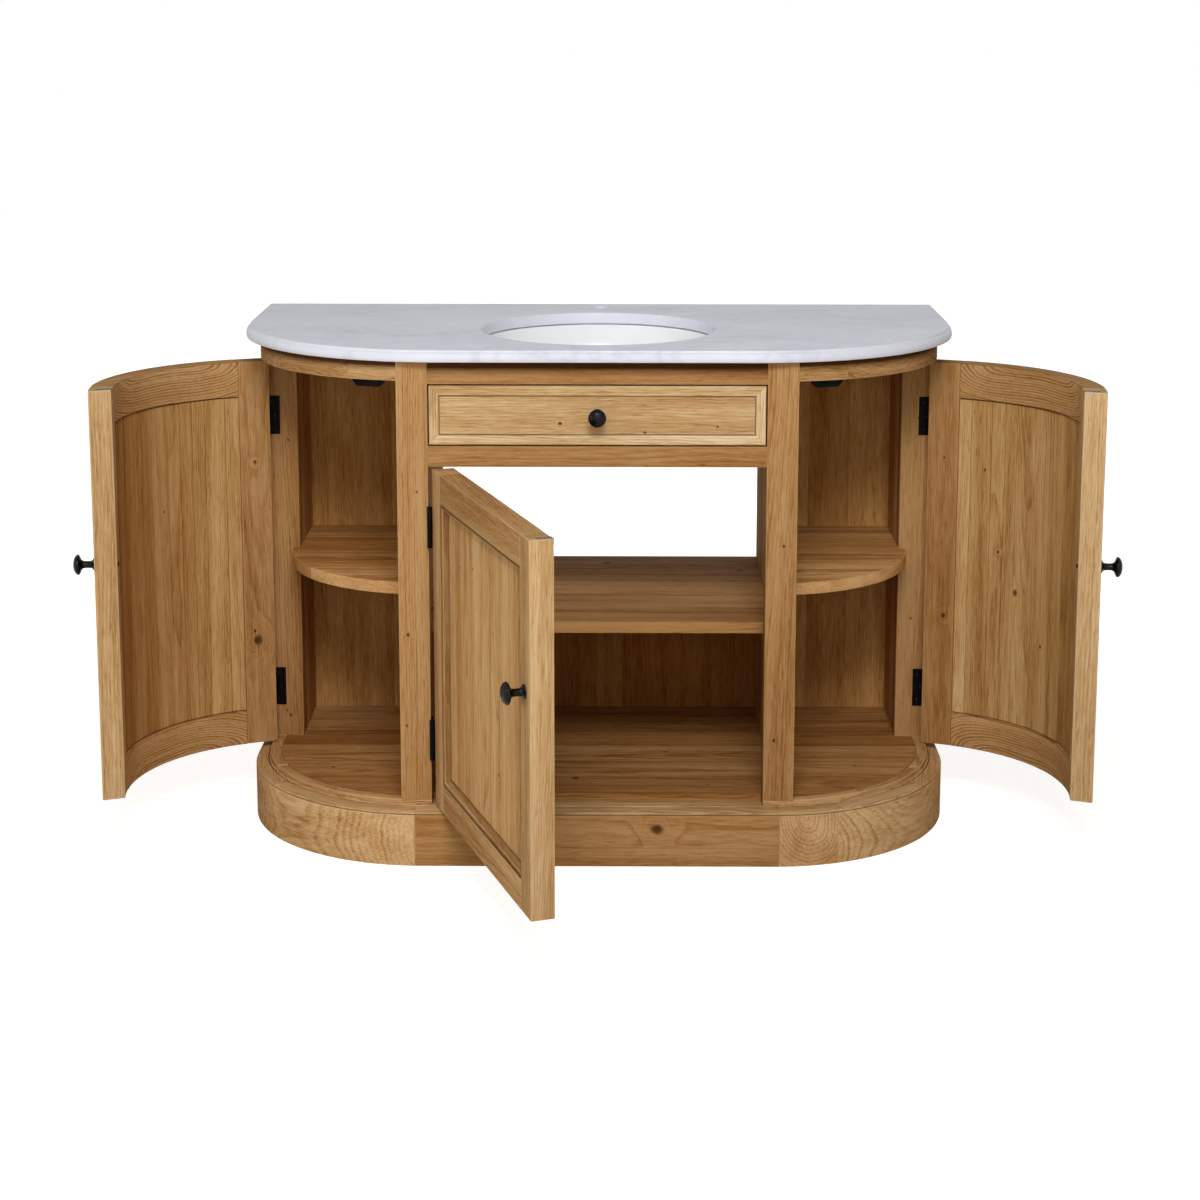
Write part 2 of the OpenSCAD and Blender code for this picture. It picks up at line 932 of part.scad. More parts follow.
module drawer_runners() {
    runner_height = 30;
    runner_width = 50;
    color(deep_oak)
        for (s = [left, right])
            on_side(s)
                block([divider_in - runner_width, drawer_rail_depth,
                       tray_bottom - runner_play - runner_height],
                      [divider_in, tray_back, tray_bottom - runner_play]);
}

plinth_front();
plinth_end(left);  // plinth_end_left
plinth_end(right);  // plinth_end_right
plinth_back();
plinth_bearers();
base_moulding();
base_board();
front_post(left);  // front_post_left
front_post(right);  // front_post_right
side_post(left);  // side_post_left
side_post(right);  // side_post_right
rear_post(left);  // rear_post_left
rear_post(right);  // rear_post_right
side_panel(left);  // side_panel_left
side_panel(right);  // side_panel_right
divider(left);  // divider_left
divider(right);  // divider_right
back_panel(left);  // back_panel_left
back_panel(right);  // back_panel_right
back_panel_centre();
top_rail();
drawer_rail();
rear_rail();
apron(left);  // apron_left
apron(right);  // apron_right
side_shelf(left);  // shelf_left
side_shelf(right);  // shelf_right
shelf_centre();
marble_top();
basin();
basin_clips();
door_catches();
frame_hinges();
drawer_runners();
on_side_door(left) side_hinge_stile();  // left_door_hinge_stile
on_side_door(left) side_free_stile();  // left_door_free_stile
on_side_door(left) side_rail(side_door_top - side_rail_height);  // left_door_top_rail
on_side_door(left) side_rail(side_door_bottom);  // left_door_bottom_rail
on_side_door(left) color(oak) side_panel_solid(0);  // left_door_panel
on_side_door(left) at_side_knob() knob(door_knob_diameter, door_thickness);  // left_door_knob
on_side_door(left) at_side_hinges() color(iron) door_leaf();  // left_door_hinges
on_side_door(right) side_hinge_stile();  // right_door_hinge_stile
on_side_door(right) side_free_stile();  // right_door_free_stile
on_side_door(right) side_rail(side_door_top - side_rail_height);  // right_door_top_rail
on_side_door(right) side_rail(side_door_bottom);  // right_door_bottom_rail
on_side_door(right) color(oak) side_panel_solid(0);  // right_door_panel
on_side_door(right) at_side_knob() knob(door_knob_diameter, door_thickness);  // right_door_knob
on_side_door(right) at_side_hinges() color(iron) door_leaf();  // right_door_hinges
on_centre_door() centre_stile(centre_left);  // centre_door_hinge_stile
on_centre_door() centre_stile(centre_right - centre_frame_width);  // centre_door_free_stile
on_centre_door() centre_rail(centre_door_top - centre_frame_width);  // centre_door_top_rail
on_centre_door() centre_rail(centre_door_bottom);  // centre_door_bottom_rail
on_centre_door() color(oak) centre_panel_solid(0);  // centre_door_panel
on_centre_door() at_centre_knob() knob(door_knob_diameter, door_thickness);  // centre_door_knob
on_centre_door() at_centre_hinges() color(iron) door_leaf();  // centre_door_hinges
drawer_front();
drawer_sides();
drawer_backs();
drawer_bottoms();
drawer_knob();
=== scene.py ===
import math
import random
import bmesh
import bpy
from mathutils import Matrix, Vector


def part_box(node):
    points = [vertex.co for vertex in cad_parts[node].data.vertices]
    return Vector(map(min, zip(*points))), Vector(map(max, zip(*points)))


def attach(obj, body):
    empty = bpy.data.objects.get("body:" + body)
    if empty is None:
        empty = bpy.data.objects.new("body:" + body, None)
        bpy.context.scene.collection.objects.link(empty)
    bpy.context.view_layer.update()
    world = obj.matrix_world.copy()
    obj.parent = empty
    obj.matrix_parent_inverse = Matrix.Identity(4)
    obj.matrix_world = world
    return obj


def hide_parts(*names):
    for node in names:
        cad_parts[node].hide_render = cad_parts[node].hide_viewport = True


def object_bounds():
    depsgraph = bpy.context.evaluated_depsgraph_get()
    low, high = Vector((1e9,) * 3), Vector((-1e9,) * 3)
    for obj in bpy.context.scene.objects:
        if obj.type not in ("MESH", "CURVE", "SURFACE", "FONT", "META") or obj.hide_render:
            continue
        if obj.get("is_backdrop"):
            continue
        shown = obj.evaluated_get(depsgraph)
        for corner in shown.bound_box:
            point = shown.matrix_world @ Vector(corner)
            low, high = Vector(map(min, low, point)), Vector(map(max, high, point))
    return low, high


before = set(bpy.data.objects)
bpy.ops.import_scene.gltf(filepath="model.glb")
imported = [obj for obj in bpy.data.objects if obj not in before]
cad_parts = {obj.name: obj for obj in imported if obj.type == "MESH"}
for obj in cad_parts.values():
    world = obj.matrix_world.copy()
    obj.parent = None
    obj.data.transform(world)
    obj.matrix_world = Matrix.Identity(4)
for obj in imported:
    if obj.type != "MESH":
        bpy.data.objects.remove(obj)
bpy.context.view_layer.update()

mm = 0.001                                   # pieces are drawn in millimetres and put down in metres
axisX, axisY, axisZ = Vector((1, 0, 0)), Vector((0, 1, 0)), Vector((0, 0, 1))
keepPlace, mirrorPlace = Matrix.Identity(4), Matrix.Scale(-1, 4, axisX)
sides = (("left", mirrorPlace), ("right", keepPlace))

cabinet = {
    "halfWidth": 597, "bowRadius": 312, "depth": 570, "backRear": 559, "postInner": 281, "postOuter": 333,
    "sidePost": 362, "floorTop": 105, "rebateTop": 96.5, "plinthTop": 90, "apronBottom": 826,
    "marbleBottom": 860,
}
bow = (cabinet["halfWidth"], 0, cabinet["bowRadius"])                # a plan: half width, front, radius
bowX, bowR = cabinet["halfWidth"] - cabinet["bowRadius"], cabinet["bowRadius"]


def nodeBox(name):
    low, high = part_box(name)
    return low / mm, high / mm


def camel(name):
    first, *rest = name.split("_")
    return first + "".join(word.capitalize() for word in rest)


# materials

def setInputs(tree, node, inputs):
    for key, value in inputs.items():
        if isinstance(value, bpy.types.NodeSocket):
            tree.links.new(value, node.inputs[key])
        else:
            node.inputs[key].default_value = value


def addNode(tree, kind, inputs=None, **settings):
    made = tree.nodes.new(kind)
    for key, value in settings.items():
        setattr(made, key, value)
    setInputs(tree, made, inputs or {})
    return made


def calc(tree, operation, *values):
    return addNode(tree, "ShaderNodeMath", dict(enumerate(values)), operation=operation).outputs[0]


def plus(tree, a, b):
    return calc(tree, "ADD", a, b)


def minus(tree, a, b):
    return calc(tree, "SUBTRACT", a, b)


def times(tree, a, b):
    return calc(tree, "MULTIPLY", a, b)


def bell(tree, reach, steepness):
    return calc(tree, "EXPONENT", times(tree, times(tree, reach, reach), steepness))


def vectorCalc(tree, operation, a, b=(0, 0, 0)):
    made = addNode(tree, "ShaderNodeVectorMath", {0: a, 1: b}, operation=operation)
    return made.outputs[1 if operation == "LENGTH" else 0]


def mixColors(tree, factor, a, b):
    a, b = ((*c, 1) if isinstance(c, tuple) else c for c in (a, b))
    return addNode(tree, "ShaderNodeMix", {0: factor, 6: a, 7: b}, data_type="RGBA").outputs[2]


def mapRange(tree, value, low, high, toLow=0.0, toHigh=1.0, smooth=True):
    kind = "SMOOTHSTEP" if smooth else "LINEAR"
    return addNode(tree, "ShaderNodeMapRange", {0: value, 1: low, 2: high, 3: toLow, 4: toHigh},
                   interpolation_type=kind).outputs[0]


def stretched(tree, vector, scale, detail=2.0, roughness=0.5):
    # noise on a stretched copy of the coordinates; gives its value and its colour
    spread = vectorCalc(tree, "MULTIPLY", vector, scale)
    made = addNode(tree, "ShaderNodeTexNoise",
                   {"Vector": spread, "Scale": 1.0, "Detail": detail, "Roughness": roughness})
    return made.outputs[0], made.outputs[1]


def bendBy(tree, vector, noise, reach):
    centred = vectorCalc(tree, "SUBTRACT", noise, (0.5, 0.5, 0.5))
    return vectorCalc(tree, "ADD", vector, vectorCalc(tree, "MULTIPLY", centred, reach))


def makeGroup(name, inputs, outputs, kind="ShaderNodeTree"):
    tree = bpy.data.node_groups.new(name, kind)
    for label, socket, value in inputs:
        made = tree.interface.new_socket(name=label, in_out="INPUT", socket_type="NodeSocket" + socket)
        if value is not None:
            made.default_value = value
    for label, socket in outputs:
        tree.interface.new_socket(name=label, in_out="OUTPUT", socket_type="NodeSocket" + socket)
    return tree, tree.nodes.new("NodeGroupInput").outputs, tree.nodes.new("NodeGroupOutput")


def makeKnotGroup():
    # one knot: bends the rings round its centre and gives its dark core
    tree, take, give = makeGroup("knot", [
        ("Grain", "Vector", None), ("Centre", "Vector", None), ("Size", "Float", 0.008),
        ("Bulge", "Float", 0.0), ("Core", "Float", 0.0)], [("Bulge", "Float"), ("Core", "Float")])
    wobble, _ = stretched(tree, take["Grain"], (60, 60, 60), 2)
    apart = vectorCalc(tree, "SUBTRACT", take["Grain"], take["Centre"])
    apart = vectorCalc(tree, "MULTIPLY", apart, (0.75, 1, 0.15))
    reach = calc(tree, "DIVIDE", vectorCalc(tree, "LENGTH", apart), take["Size"])
    reach = plus(tree, reach, mapRange(tree, wobble, 0, 1, -0.35, 0.35, smooth=False))
    bulge = times(tree, bell(tree, reach, -0.22), times(tree, take["Size"], 1.7))
    core = calc(tree, "MAXIMUM", take["Core"], mapRange(tree, reach, 0.45, 1.15, 1, 0))
    setInputs(tree, give, {"Bulge": plus(tree, take["Bulge"], bulge), "Core": core})
    return tree


def makeWoodGroup():
    # growth rings round the log's axis, streaks, fibres, pores and a few small knots
    tree, take, give = makeGroup("woodGrain", [
        ("Grain", "Vector", None), ("Tone", "Float", 1.0), ("Edge", "Float", 0.0),
        ("Bulge", "Float", 0.0), ("Core", "Float", 0.0),
        ("Light", "Color", (0.6, 0.4, 0.2, 1)), ("Middle", "Color", (0.45, 0.27, 0.12, 1)),
        ("Dark", "Color", (0.2, 0.1, 0.03, 1)), ("Ring Width", "Float", 0.0034),
        ("Ring Strength", "Float", 0.3), ("Fibre Strength", "Float", 0.3),
        ("Streak Strength", "Float", 0.6), ("Knots", "Float", 0.25)],
        [("Color", "Color"), ("Roughness", "Float"), ("Height", "Float")])
    grain, tone, edge = take["Grain"], take["Tone"], take["Edge"]
    _, slow = stretched(tree, grain, (2.4, 12, 12), 2)
    _, quick = stretched(tree, grain, (14, 75, 75), 2)
    bent = bendBy(tree, grain, slow, (0, 0.018, 0.018))
    bent = bendBy(tree, bent, quick, (0, 0.003, 0.003))
    _, y, z = addNode(tree, "ShaderNodeSeparateXYZ", {0: bent}).outputs
    radius = calc(tree, "SQRT", plus(tree, times(tree, y, y), times(tree, z, z)))
    # small knots scattered through the log
    spread = vectorCalc(tree, "MULTIPLY", grain, (7.0, 11, 11))
    cells = addNode(tree, "ShaderNodeTexVoronoi", {"Vector": spread, "Scale": 1.0}).outputs
    pick = addNode(tree, "ShaderNodeSeparateColor", {0: cells["Color"]}).outputs
    chosen = calc(tree, "LESS_THAN", pick[0], take["Knots"])
    near = times(tree, cells["Distance"], plus(tree, 0.7, pick[1]))
    swell = times(tree, times(tree, bell(tree, near, -130.0), chosen), 0.006)
    core = times(tree, mapRange(tree, near, 0.018, 0.045, 1, 0), chosen)
    core = calc(tree, "MAXIMUM", core, take["Core"])
    radius = plus(tree, radius, plus(tree, swell, take["Bulge"]))
    rings = calc(tree, "DIVIDE", radius, take["Ring Width"])
    part = calc(tree, "FRACT", rings)
    year = addNode(tree, "ShaderNodeTexWhiteNoise", {"W": calc(tree, "FLOOR", rings)},
                   noise_dimensions="1D").outputs[0]
    late = times(tree, mapRange(tree, part, 0.3, 0.88), mapRange(tree, part, 0.9, 1.0, 1, 0))
    late = times(tree, late, mapRange(tree, year, 0, 1, 0.15, 1.0, smooth=False))
    late = times(tree, late, take["Ring Strength"])
    streak, _ = stretched(tree, grain, (0.9, 30, 30), 5, 0.62)
    dash, _ = stretched(tree, grain, (8, 150, 150), 2)
    fibre, _ = stretched(tree, grain, (24, 460, 460), 2, 0.65)
    mottle, _ = stretched(tree, grain, (3.5, 9, 9), 2)
    pore, _ = stretched(tree, grain, (42, 430, 430), 1)
    shade = times(tree, minus(tree, streak, 0.5), take["Streak Strength"])
    for noise, strength in ((dash, 0.45), (fibre, 1.25)):
        strength = times(tree, take["Fibre Strength"], strength)
        shade = calc(tree, "MULTIPLY_ADD", minus(tree, noise, 0.5), strength, shade)
    shade = calc(tree, "MULTIPLY_ADD", minus(tree, mottle, 0.5), 0.5, shade)
    shade = minus(tree, plus(tree, shade, 0.70), late)
    shade = minus(tree, shade, mapRange(tree, pore, 0.58, 0.76, 0, 0.30))
    shade = minus(tree, shade, times(tree, swell, 22.0))
    lower = mixColors(tree, mapRange(tree, shade, 0.0, 0.5, smooth=False), take["Dark"], take["Middle"])
    color = mixColors(tree, mapRange(tree, shade, 0.5, 1.0, smooth=False), lower, take["Light"])
    color = mixColors(tree, times(tree, core, 0.85), color, (0.045, 0.018, 0.006))
    # edge marks: above 0 lighter, for worn arrises and, on shelf fronts, partly a painted highlight; below 0
    # darker, for dark joints and dirt and for painted shade in grooves, under the marble and beside door
    # panels
    worn = times(tree, calc(tree, "MAXIMUM", edge, 0.0), 0.55)
    color = mixColors(tree, worn, color, take["Light"])
    dirtAndShade = times(tree, calc(tree, "MAXIMUM", times(tree, edge, -1.0), 0.0), 0.9)
    color = mixColors(tree, dirtAndShade, color, (0.045, 0.011, 0.0008))
    # darker boards are also redder
    warm = joinXYZ(tree, tone, calc(tree, "POWER", tone, 1.6), calc(tree, "POWER", tone, 2.4))
    rough = calc(tree, "MULTIPLY_ADD", fibre, 0.2, 0.55)
    height = minus(tree, times(tree, fibre, 0.9), times(tree, late, 0.5))
    setInputs(tree, give, {
        "Color": vectorCalc(tree, "MULTIPLY", color, warm),
        "Roughness": calc(tree, "MULTIPLY_ADD", late, -0.1, rough),
        "Height": minus(tree, height, mapRange(tree, pore, 0.60, 0.72, 0, 0.8))})
    return tree


def joinXYZ(tree, x=0.0, y=0.0, z=0.0):
    return addNode(tree, "ShaderNodeCombineXYZ", {0: x, 1: y, 2: z}).outputs[0]


def newMaterial(name):
    made = bpy.data.materials.new(name)
    made.use_nodes = True
    return made, made.node_tree, made.node_tree.nodes["Principled BSDF"]


def objectPlace(tree):
    return addNode(tree, "ShaderNodeTexCoord").outputs["Object"]


def readAttribute(tree, name, output="Fac"):
    return addNode(tree, "ShaderNodeAttribute", attribute_name=name).outputs[output]


def bumpFrom(tree, height, distance, strength):
    return addNode(tree, "ShaderNodeBump",
                   {"Height": height, "Distance": distance, "Strength": strength}).outputs[0]


# mean linear colour of each wood; its pale and dark parts are shares of it
woodColors = {"oak": (0.47, 0.260, 0.104), "pale_oak": (0.50, 0.300, 0.132),
              "deep_oak": (0.35, 0.152, 0.038), "golden": (0.527, 0.280, 0.102),
              "amber": (0.49, 0.283, 0.108)}
woodShares = {"Light": (1.22, 1.40, 1.68), "Middle": (0.94, 0.91, 0.86), "Dark": (0.56, 0.46, 0.34)}
woodFigure = {"Ring Width": 0.0038, "Ring Strength": 0.38, "Fibre Strength": 0.95,
              "Streak Strength": 1.6, "Knots": 0.08}


def makeWood(name, wood, knots=(), **changes):
    # knots are (along, across, depth, size) in the board's own grain coordinates, in metres
    made, tree, shader = newMaterial(name)
    grain, fromKnots = readAttribute(tree, "grain", "Vector"), {}
    for *centre, size in knots:
        knot = addNode(tree, "ShaderNodeGroup", {"Grain": grain, "Centre": centre, "Size": size, **fromKnots},
                       node_tree=knotGroup)
        fromKnots = {label: knot.outputs[label] for label in ("Bulge", "Core")}
    colors = {label: (*(c * share for c, share in zip(woodColors[wood], shares)), 1)
              for label, shares in woodShares.items()}
    figure = addNode(tree, "ShaderNodeGroup", {
        "Grain": grain, "Tone": readAttribute(tree, "tone"), "Edge": readAttribute(tree, "edge"),
        **fromKnots, **colors, **woodFigure, **changes}, node_tree=woodGroup).outputs
    setInputs(tree, shader, {"Base Color": figure["Color"], "Roughness": figure["Roughness"],
                             "Specular IOR Level": 0.004,
                             "Normal": bumpFrom(tree, figure["Height"], 0.00035, 0.8)})
    return made


stone = {"pale": (0.735, 0.745, 0.810), "cloud": (0.655, 0.667, 0.750), "vein": (0.45, 0.46, 0.54),
         "speck": (0.64, 0.65, 0.72), "veinShare": 0.36, "rough": (0.44, 0.56), "gloss": 0.35}


def makeMarble():
    made, tree, shader = newMaterial("honedMarble")
    place = objectPlace(tree)
    _, drift = stretched(tree, place, (2.2, 3.2, 2.2), 4, 0.6)
    moved = bendBy(tree, place, drift, (0.5, 0.5, 0.5))
    cloud, _ = stretched(tree, moved, (2.4, 6.0, 4.0), 5, 0.6)
    vein, _ = stretched(tree, moved, (3.2, 9.5, 6.0), 3, 0.55)
    fine, _ = stretched(tree, place, (55, 55, 55), 3)
    line = calc(tree, "ABSOLUTE", minus(tree, vein, 0.5))
    thin = times(tree, mapRange(tree, line, 0.0, 0.035, 1, 0), mapRange(tree, cloud, 0.42, 0.66))
    color = mixColors(tree, mapRange(tree, cloud, 0.35, 0.7), stone["pale"], stone["cloud"])
    color = mixColors(tree, times(tree, thin, stone["veinShare"]), color, stone["vein"])
    color = mixColors(tree, mapRange(tree, fine, 0.3, 0.7, 0, 0.10), color, stone["speck"])
    setInputs(tree, shader, {"Base Color": color, "Specular IOR Level": stone["gloss"],
                             "Roughness": mapRange(tree, fine, 0.2, 0.8, *stone["rough"]),
                             "Normal": bumpFrom(tree, fine, 0.0001, 0.3)})
    return made


metals = {                                   # colour, metallic, roughness, grain scale, bump, gloss
    "blackIron": ((0.0035, 0.0028, 0.0028), 0.0, 0.50, 420, 0.00012, 0.04),
    "polishedBlack": ((0.0030, 0.0024, 0.0024), 0.0, 0.26, 300, 0.00006, 0.13),
    "dullSteel": ((0.095, 0.082, 0.064), 0.0, 0.55, 500, 0.0003, 0.2),
    "zincSteel": ((0.42, 0.41, 0.40), 1.0, 0.42, 300, 0.0001, 0.5),
}


def makeMetal(name):
    color, metallic, rough, scale, bump, gloss = metals[name]
    made, tree, shader = newMaterial(name)
    place = objectPlace(tree)
    fine, _ = stretched(tree, place, (scale,) * 3, 4, 0.6)
    broad, _ = stretched(tree, place, (scale / 9,) * 3, 3)
    worn = tuple(min(1, c * 1.8 + 0.001) for c in color)
    setInputs(tree, shader, {
        "Base Color": mixColors(tree, mapRange(tree, broad, 0.45, 0.75), color, worn),
        "Metallic": metallic, "Specular IOR Level": gloss,
        "Roughness": mapRange(tree, fine, 0.25, 0.75, rough - 0.08, rough + 0.1),
        "Normal": bumpFrom(tree, fine, bump, 0.6)})
    return made


def makeCeramic():
    made, tree, shader = newMaterial("whiteCeramic")
    place = objectPlace(tree)
    broad, _ = stretched(tree, place, (7, 7, 7), 2)
    speck, _ = stretched(tree, place, (160, 160, 160), 2)
    color = mixColors(tree, mapRange(tree, broad, 0.3, 0.7), (0.93, 0.94, 0.955), (0.90, 0.915, 0.935))
    setInputs(tree, shader, {"Base Color": color, "Coat Weight": 0.4,
                             "Roughness": mapRange(tree, speck, 0.2, 0.8, 0.08, 0.14),
                             "Normal": bumpFrom(tree, broad, 0.0004, 0.25)})
    return made


woodGroup, knotGroup = makeWoodGroup(), makeKnotGroup()
figured = {"Ring Strength": 0.85, "Ring Width": 0.0048, "Fibre Strength": 0.6, "Streak Strength": 0.7}
streaked = {"Ring Strength": 0.5, "Fibre Strength": 1.2, "Streak Strength": 2.4}
blocky = {"Ring Strength": 0.5, "Ring Width": 0.0055, "Streak Strength": 1.2}
backFigure = {"Ring Strength": 0.25, "Fibre Strength": 1.3, "Streak Strength": 1.5}
woods = {slot: makeWood(slot + "Waxed", slot) for slot in ("oak", "pale_oak", "deep_oak")}
figuredOak = makeWood("figuredOak", "oak", **figured)
plinthOak = makeWood("plinthOak", "oak", **blocky)
sideShelfOak = makeWood("sideShelfOak", "golden", **streaked)
backOak = makeWood("backOak", "deep_oak", **backFigure)
marbleFinish, ceramicFinish = makeMarble(), makeCeramic()
ironFinish, knobFinish, dullSteel, zincFinish = (makeMetal(name) for name in metals)
print("materials made")


# shapes

def newPiece():
    return {"verts": [], "faces": [], "grain": [], "tone": [], "edge": []}


def cutBoard(rng, along, across, centre, tone=1.0, figure="flat", spread=0.07):
    # where in the log a board was cut, and how it lies there
    along, across = along.normalized(), across.normalized()
    turn = Matrix.Rotation(math.radians(rng.uniform(-1.6, 1.6)), 3, along.cross(across))
    tip = Matrix.Rotation(math.radians(rng.uniform(-1.8, 1.8)), 3, across)
    side = {"flat": rng.uniform(-18, 18), "rift": rng.uniform(35, 80), "quarter": rng.uniform(90, 160)}
    deep = {"flat": rng.uniform(45, 110), "rift": rng.uniform(40, 90), "quarter": rng.uniform(-15, 15)}
    return {"along": tip @ turn @ along, "across": tip @ turn @ across,
            "depth": tip @ turn @ along.cross(across), "centre": Vector(centre),
            "shift": Vector((rng.uniform(0, 20000), side[figure] * rng.choice((-1, 1)), deep[figure])),
            "tone": tone * rng.uniform(1 - spread, 1 + spread)}


def grainAt(wood, point):
    p = point - wood["centre"]
    return (Vector([p.dot(wood[way]) for way in ("along", "across", "depth")]) + wood["shift"]) * mm


def knotsAt(wood, spots, place=keepPlace):
    # spots are (point on the finished cabinet, size)
    return [(*grainAt(wood, place.inverted() @ Vector(point)), size * mm) for point, size in spots]


def addPart(piece, bm, wood=None, place=keepPlace, marks=None):
    # marks: 1 on a worn edge, also a painted highlight on shelf fronts; -1 in a dark joint, also for painted
    # shade
    bm.verts.ensure_lookup_table()
    bm.verts.index_update()
    first = len(piece["verts"])
    piece["verts"] += [(place @ v.co) * mm for v in bm.verts]
    way = -1 if place.determinant() < 0 else 1
    for f in bm.faces:
        corners = list(f.verts)[::way]
        piece["faces"].append([first + v.index for v in corners])
        board = wood(f) if callable(wood) else wood
        for v in corners:
            piece["grain"].append(grainAt(board, v.co) if board else Vector((0, 0, 0)))
            piece["tone"].append(board["tone"] if board else 1.0)
            piece["edge"].append((marks or {}).get(f, 0.0))
    bm.free()


def roundEdges(bm, width, segments=2, angle=30, mark=1.0, only=None):
    sharp = [e for e in bm.edges if len(e.link_faces) == 2 and e.calc_face_angle(0) > math.radians(angle)
             and (only is None or only(e))]
    made = bmesh.ops.bevel(bm, geom=sharp, offset=width, offset_type="OFFSET", segments=segments,
                           profile=0.6, affect="EDGES", clamp_overlap=True)
    return {f: mark for f in made["faces"] if f.is_valid}


def addBoard(piece, bm, wood, width, place=keepPlace, **rounding):
    addPart(piece, bm, wood, place, roundEdges(bm, width, **rounding))


def upright(e):
    return abs(e.verts[0].co.z - e.verts[1].co.z) > 1


def cutAcross(bm, planes):
    for point, normal in planes:
        bmesh.ops.bisect_plane(bm, geom=bm.verts[:] + bm.edges[:] + bm.faces[:], plane_co=point,
                               plane_no=normal)


# faces beyond any plane get a dark mark: painted shade, and dirt where a panel meets its frame
def shadeAndDirtBeyond(bm, marks, planes, mark=-0.85):
    for f in bm.faces:
        centre = f.calc_center_median()
        if any((centre - point).dot(normal) > 0 for point, normal in planes):
            marks[f] = mark


def roundAndShadeUnderMarble(bm, width, top, reach, **rounding):
    # painted shadow of the marble's overhang, fainter further down
    shadowBands = [((axisZ * (top - down * reach), axisZ), mark) for down, mark in
             ((27, -0.1), (24, -0.2), (21, -0.32), (18.5, -0.45), (16, -0.6), (13.5, -0.8), (11, -1.0))]
    cutAcross(bm, [plane for plane, _ in shadowBands])
    marks = roundEdges(bm, width, **rounding)
    for plane, mark in shadowBands:
        shadeAndDirtBeyond(bm, marks, [plane], mark)
    return marks


def boxShape(low, high):
    bm = bmesh.new()
    bmesh.ops.create_cube(bm, size=1)
    low, high = Vector(low), Vector(high)
    for v in bm.verts:
        v.co = Vector([(low[i] + high[i]) / 2 + v.co[i] * (high[i] - low[i]) for i in range(3)])
    return bm


def joinRings(bm, rings):
    for a, b in zip(rings, rings[1:]):
        for i in range(len(a)):
            j = (i + 1) % len(a)
            bm.faces.new((a[i], a[j], b[j], b[i]))


def solidShape(rings, capped=True):
    # a closed shape through rings of points, with its ends capped or joined to each other
    bm = bmesh.new()
    rings = [[bm.verts.new(p) for p in ring] for ring in rings]
    joinRings(bm, rings if capped else rings + rings[:1])
    if capped:
        bm.faces.new(rings[0][::-1])
        bm.faces.new(rings[-1])
    bmesh.ops.recalc_face_normals(bm, faces=bm.faces)
    return bm


def planPoint(shape, station):
    # a point of a bow-ended plan: at an x, at an angle from the front, or at a y
    half, front, radius = shape
    cx, cy = half - radius, front + radius
    kind, value = station
    if kind == "x":
        if value <= cx:
            return Vector((value, front, 0))
        a = math.asin((value - cx) / radius)
    elif kind == "a":
        a = math.radians(value)
    elif value < cy:
        a = math.acos((cy - value) / radius)
    else:
        return Vector((half, value, 0))
    return Vector((cx + radius * math.sin(a), cy - radius * math.cos(a), 0))


def runBetween(shape, start, end):
    # direction and middle of a stretch of a plan
    here, after = planPoint(shape, start), planPoint(shape, end)
    return after - here, (here + after) / 2


def inset(shape, by):
    return (shape[0] - by, shape[1] + by, shape[2] - by)


def bandAround(shape, thick, low, high, depth=0):
    # the section of a board that follows a plan
    outer, inner = inset(shape, depth), inset(shape, depth + thick)
    return [(inner, low), (outer, low), (outer, high), (inner, high)]


def sweepShape(profile, stations):
    # profile is a closed line of (plan, z)
    return solidShape([[planPoint(shape, s) + axisZ * z for shape, z in profile] for s in stations])


def stationsBetween(start, end, first=3.0, step=3.0):
    # stations from an x, an angle or a y to an angle or a y
    if start[0] == "y" or start == ("a", 90):
        return [start, end]
    a = first if start[0] == "x" else start[1] + step
    stop = end[1] if end[0] == "a" else 90.0
    out = [start]
    while a < stop - 0.6:
        out.append(("a", a))
        a += step
    return out + ([("a", 90.0)] if end[0] == "y" else []) + [end]


def curvedLine(points, steps=4):
    # a smooth line through the points
    ends = [points[0]] + list(points) + [points[-1]]
    out = []
    for i in range(1, len(ends) - 2):
        a, b, c, d = (Vector((*p, 0)) for p in ends[i - 1:i + 3])
        for k in range(steps):
            t = k / steps
            p = 0.5 * (2 * b + (c - a) * t + (2 * a - 5 * b + 4 * c - d) * t * t
                       + (3 * b - a - 3 * c + d) * t ** 3)
            out.append((p.x, p.y))
    return out + [tuple(points[-1])]


def circle(radius, count, x=0, y=0, z=0):
    turns = [2 * math.pi * k / count for k in range(count)]
    return [Vector((x + radius * math.cos(a), y + radius * math.sin(a), z)) for a in turns]


def latheShape(profile, segments=48):
    # profile of (radius, height), closed on the axis where the radius is 0
    bm = bmesh.new()
    rings = [[bm.verts.new(p) for p in ([(0, 0, h)] if r < 1e-6 else circle(r, segments, z=h))]
             for r, h in profile]
    for a, b in zip(rings, rings[1:]):
        for k in range(segments):
            n = (k + 1) % segments
            corners = [a[k % len(a)], a[n % len(a)], b[n % len(b)], b[k % len(b)]]
            corners = [c for i, c in enumerate(corners) if c not in corners[:i]]
            if len(corners) > 2:
                bm.faces.new(corners)
    bmesh.ops.recalc_face_normals(bm, faces=bm.faces)
    return bm


def nestedShape(at, rectangle, rings, steps=(1, 1), capped=True):
    # mitred frames inside a rectangle: rings are (distance in, depth); at(s, z, depth) gives the point
    s0, s1, z0, z1 = rectangle
    loops = []
    for d, depth in rings:
        corners = [(s0 + d, z0 + d), (s1 - d, z0 + d), (s1 - d, z1 - d), (s0 + d, z1 - d)]
        loop = []
        for i, (sa, za) in enumerate(corners):
            sb, zb = corners[(i + 1) % 4]
            count = steps[i % 2]
            loop += [at(sa + (sb - sa) * k / count, za + (zb - za) * k / count, depth) for k in range(count)]
        loops.append(loop)
    return solidShape(loops, capped)


def flatFront(s, z, depth):
    return Vector((s, depth, z))


